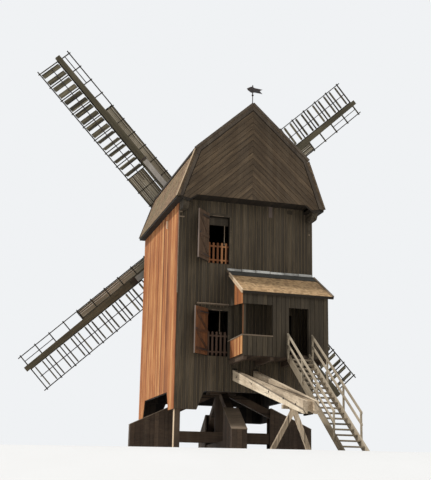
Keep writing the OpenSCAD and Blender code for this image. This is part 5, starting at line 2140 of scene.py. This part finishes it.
@dataclass
class Sails:
    """The four sails and their windshaft."""

    turns: tuple[float, ...] = (133.8, 42.7, 313.8, 222.7)
    set_back: tuple[float, ...] = (-0.214, 0.214, -0.214, 0.214)

    def build(self) -> None:
        """Builds and dresses the sails."""
        sails = [Sail(*values) for values in zip((1, 2, 3, 4), self.turns, self.set_back)]
        for sail in sails:
            sail.build()
        for sail in sails:
            sail.dress_solids()
        dress({"windshaft": PALETTE.trestle.material(Run.DEEP, 0.7)})


@dataclass(frozen=True)
class Lamp:
    """A distant lamp: the direction that it hangs in, its strength and its width in degrees."""

    name: str
    toward: Triple
    power: float
    soft: float


@dataclass
class Studio:
    """Floor, light and camera."""

    eye: Vector = field(default_factory=lambda: Vector((-11.716, -40.253, -1.345)))
    yaw: float = math.radians(15.719)
    pitch: float = math.radians(14.475)
    roll: float = math.radians(1.071)
    focal_px: float = 979.9
    long_side_px: float = 480.0
    sensor: float = 36.0
    clip_end: float = 2000.0
    crown_r: float = 10.8
    curve_r: float = 12.0
    brow_steps: int = 24
    foot_steps: int = 8
    foot_w: float = 14.0
    drop: float = 6.0
    brow_share: float = 0.7
    flat_r: float = 400.0
    stretch: float = 2.5
    floor_steps: int = 96
    lamps: tuple[Lamp, ...] = (Lamp("key", (-0.60, 0.09, 0.80), 2.9, 3.0),
                               Lamp("fill", (0.45, -0.80, 0.35), 0.5, 30.0))
    sky: Colour = colour(250, 252, 255)
    sky_strength: float = 0.47
    backdrop: Colour = colour(240, 242, 244)

    def build(self) -> None:
        """Builds the floor, the lamps, the world and the camera."""
        self._floor()
        self._lamps()
        self._world()
        self._camera()

    def _profile(self) -> list[Span]:
        """Draws the mound: a level crown, a round brow, a hollow foot and a wide flat.

        Returns:
            The distance from the middle and the height of each point.
        """
        last = self.crown_r + math.sqrt(2 * self.curve_r * self.drop * self.brow_share)
        points = [(0.0, 0.0), (self.crown_r, 0.0)]
        for k in range(1, self.brow_steps + 1):
            r = self.crown_r + (last - self.crown_r) * k / self.brow_steps
            points.append((r, -((r - self.crown_r) ** 2) / (2 * self.curve_r)))
        low = points[-1][1]
        for k in range(1, self.foot_steps + 1):
            share = k / self.foot_steps
            fall = (self.drop + low) * math.sin(share * math.pi / 2)
            points.append((last + self.foot_w * share, low - fall))
        points.append((self.flat_r, -self.drop))
        return points

    def _floor(self) -> None:
        """Spins a pale mound whose level crown carries the mill."""
        bm = bmesh.new()
        row = [bm.verts.new((r, 0, z)) for r, z in self._profile()]
        edges = [bm.edges.new(pair) for pair in zip(row[:-1], row[1:])]
        bmesh.ops.spin(bm, geom=row + edges, cent=(0, 0, 0), axis=(0, 0, 1), angle=2 * math.pi,
                       steps=self.floor_steps, use_merge=True)
        bmesh.ops.remove_doubles(bm, verts=bm.verts[:], dist=0.0001)
        across = Matrix.Rotation(-self.yaw, 4, "Z")
        bmesh.ops.transform(bm, matrix=across @ Matrix.Diagonal((self.stretch, 1, 1, 1))
                            @ across.inverted(), verts=bm.verts[:])
        bmesh.ops.recalc_face_normals(bm, faces=bm.faces[:])
        for face in bm.faces:
            face.smooth = True
            if face.normal.z < 0:
                face.normal_flip()
        mesh = bpy.data.meshes.new("studio_floor")
        bm.to_mesh(mesh)
        bm.free()
        floor = bpy.data.objects.new("studio_floor", mesh)
        bpy.context.scene.collection.objects.link(floor)
        surface = Surface("Pale floor")
        broad = surface.graph.noise(surface.place, 0.35, 3.0)
        paint = surface.graph.mix(broad, colour(218, 217, 214), colour(226, 225, 223))
        surface.feed("Base Color", paint)
        surface.feed("Roughness", 0.95)
        surface.feed("Specular IOR Level", 0.1)
        mesh.materials.append(surface.material)

    def _lamps(self) -> None:
        """Hangs a steep key lamp on the left, just past the rear wall's plane, and a weak fill."""
        for each in self.lamps:
            lamp = bpy.data.lights.new(each.name, "SUN")
            lamp.energy = each.power
            lamp.angle = math.radians(each.soft)
            holder = bpy.data.objects.new(each.name, lamp)
            holder.rotation_euler = Vector(each.toward).to_track_quat("Z", "Y").to_euler()
            bpy.context.scene.collection.objects.link(holder)

    def _world(self) -> None:
        """Lights the mill with an even pale sky."""
        world = bpy.data.worlds.new("Even sky")
        world.use_nodes = True
        bpy.context.scene.world = world
        graph = Graph(world.node_tree)
        lit = world.node_tree.nodes["Background"]
        lit.inputs["Color"].default_value = self.sky
        lit.inputs["Strength"].default_value = self.sky_strength
        seen = graph.add("ShaderNodeBackground")
        seen.inputs["Color"].default_value = self.backdrop
        seen.inputs["Strength"].default_value = 1.0
        path = graph.add("ShaderNodeLightPath")
        share = graph.math("MAXIMUM", path.outputs["Is Camera Ray"], path.outputs["Is Glossy Ray"])
        share = graph.math("MAXIMUM", share, path.outputs["Is Transmission Ray"])
        mixed = graph.add("ShaderNodeMixShader")
        graph.feed(mixed.inputs[0], share)
        graph.feed(mixed.inputs[1], lit.outputs[0])
        graph.feed(mixed.inputs[2], seen.outputs[0])
        graph.feed(world.node_tree.nodes["World Output"].inputs["Surface"], mixed.outputs[0])

    def _camera(self) -> None:
        """Sets the camera at the photograph's viewing angle."""
        ahead = Vector((math.sin(self.yaw) * math.cos(self.pitch),
                        math.cos(self.yaw) * math.cos(self.pitch), math.sin(self.pitch)))
        right = Vector((math.cos(self.yaw), -math.sin(self.yaw), 0))
        up = right.cross(ahead)
        turned_right = right * math.cos(self.roll) + up * math.sin(self.roll)
        turned_up = up * math.cos(self.roll) - right * math.sin(self.roll)
        camera = bpy.data.cameras.new("camera")
        camera.sensor_fit = "AUTO"
        camera.sensor_width = self.sensor
        camera.lens = self.focal_px / self.long_side_px * self.sensor
        camera.clip_end = self.clip_end
        holder = bpy.data.objects.new("camera", camera)
        turn = Matrix((turned_right, turned_up, -ahead)).transposed().to_4x4()
        holder.matrix_world = Matrix.Translation(self.eye) @ turn
        bpy.context.scene.collection.objects.link(holder)
        bpy.context.scene.camera = holder
        bpy.context.scene.view_settings.view_transform = "Standard"


def main() -> None:
    """Builds every sub-assembly."""
    logging.basicConfig(level=logging.INFO, format="%(message)s")
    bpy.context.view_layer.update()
    sizes = MillSizes.from_frame()
    roof = Roof(sizes)
    for part in (Studio(), Walls(sizes), roof, Doors(sizes), Porch(sizes, roof), Trestle(),
                 Tail(), Sails()):
        log.info("building %s", type(part).__name__)
        part.build()
    dress({"vane_pole": PALETTE.iron.material(), "vane": PALETTE.iron.material()})


if __name__ == "__main__":
    main()
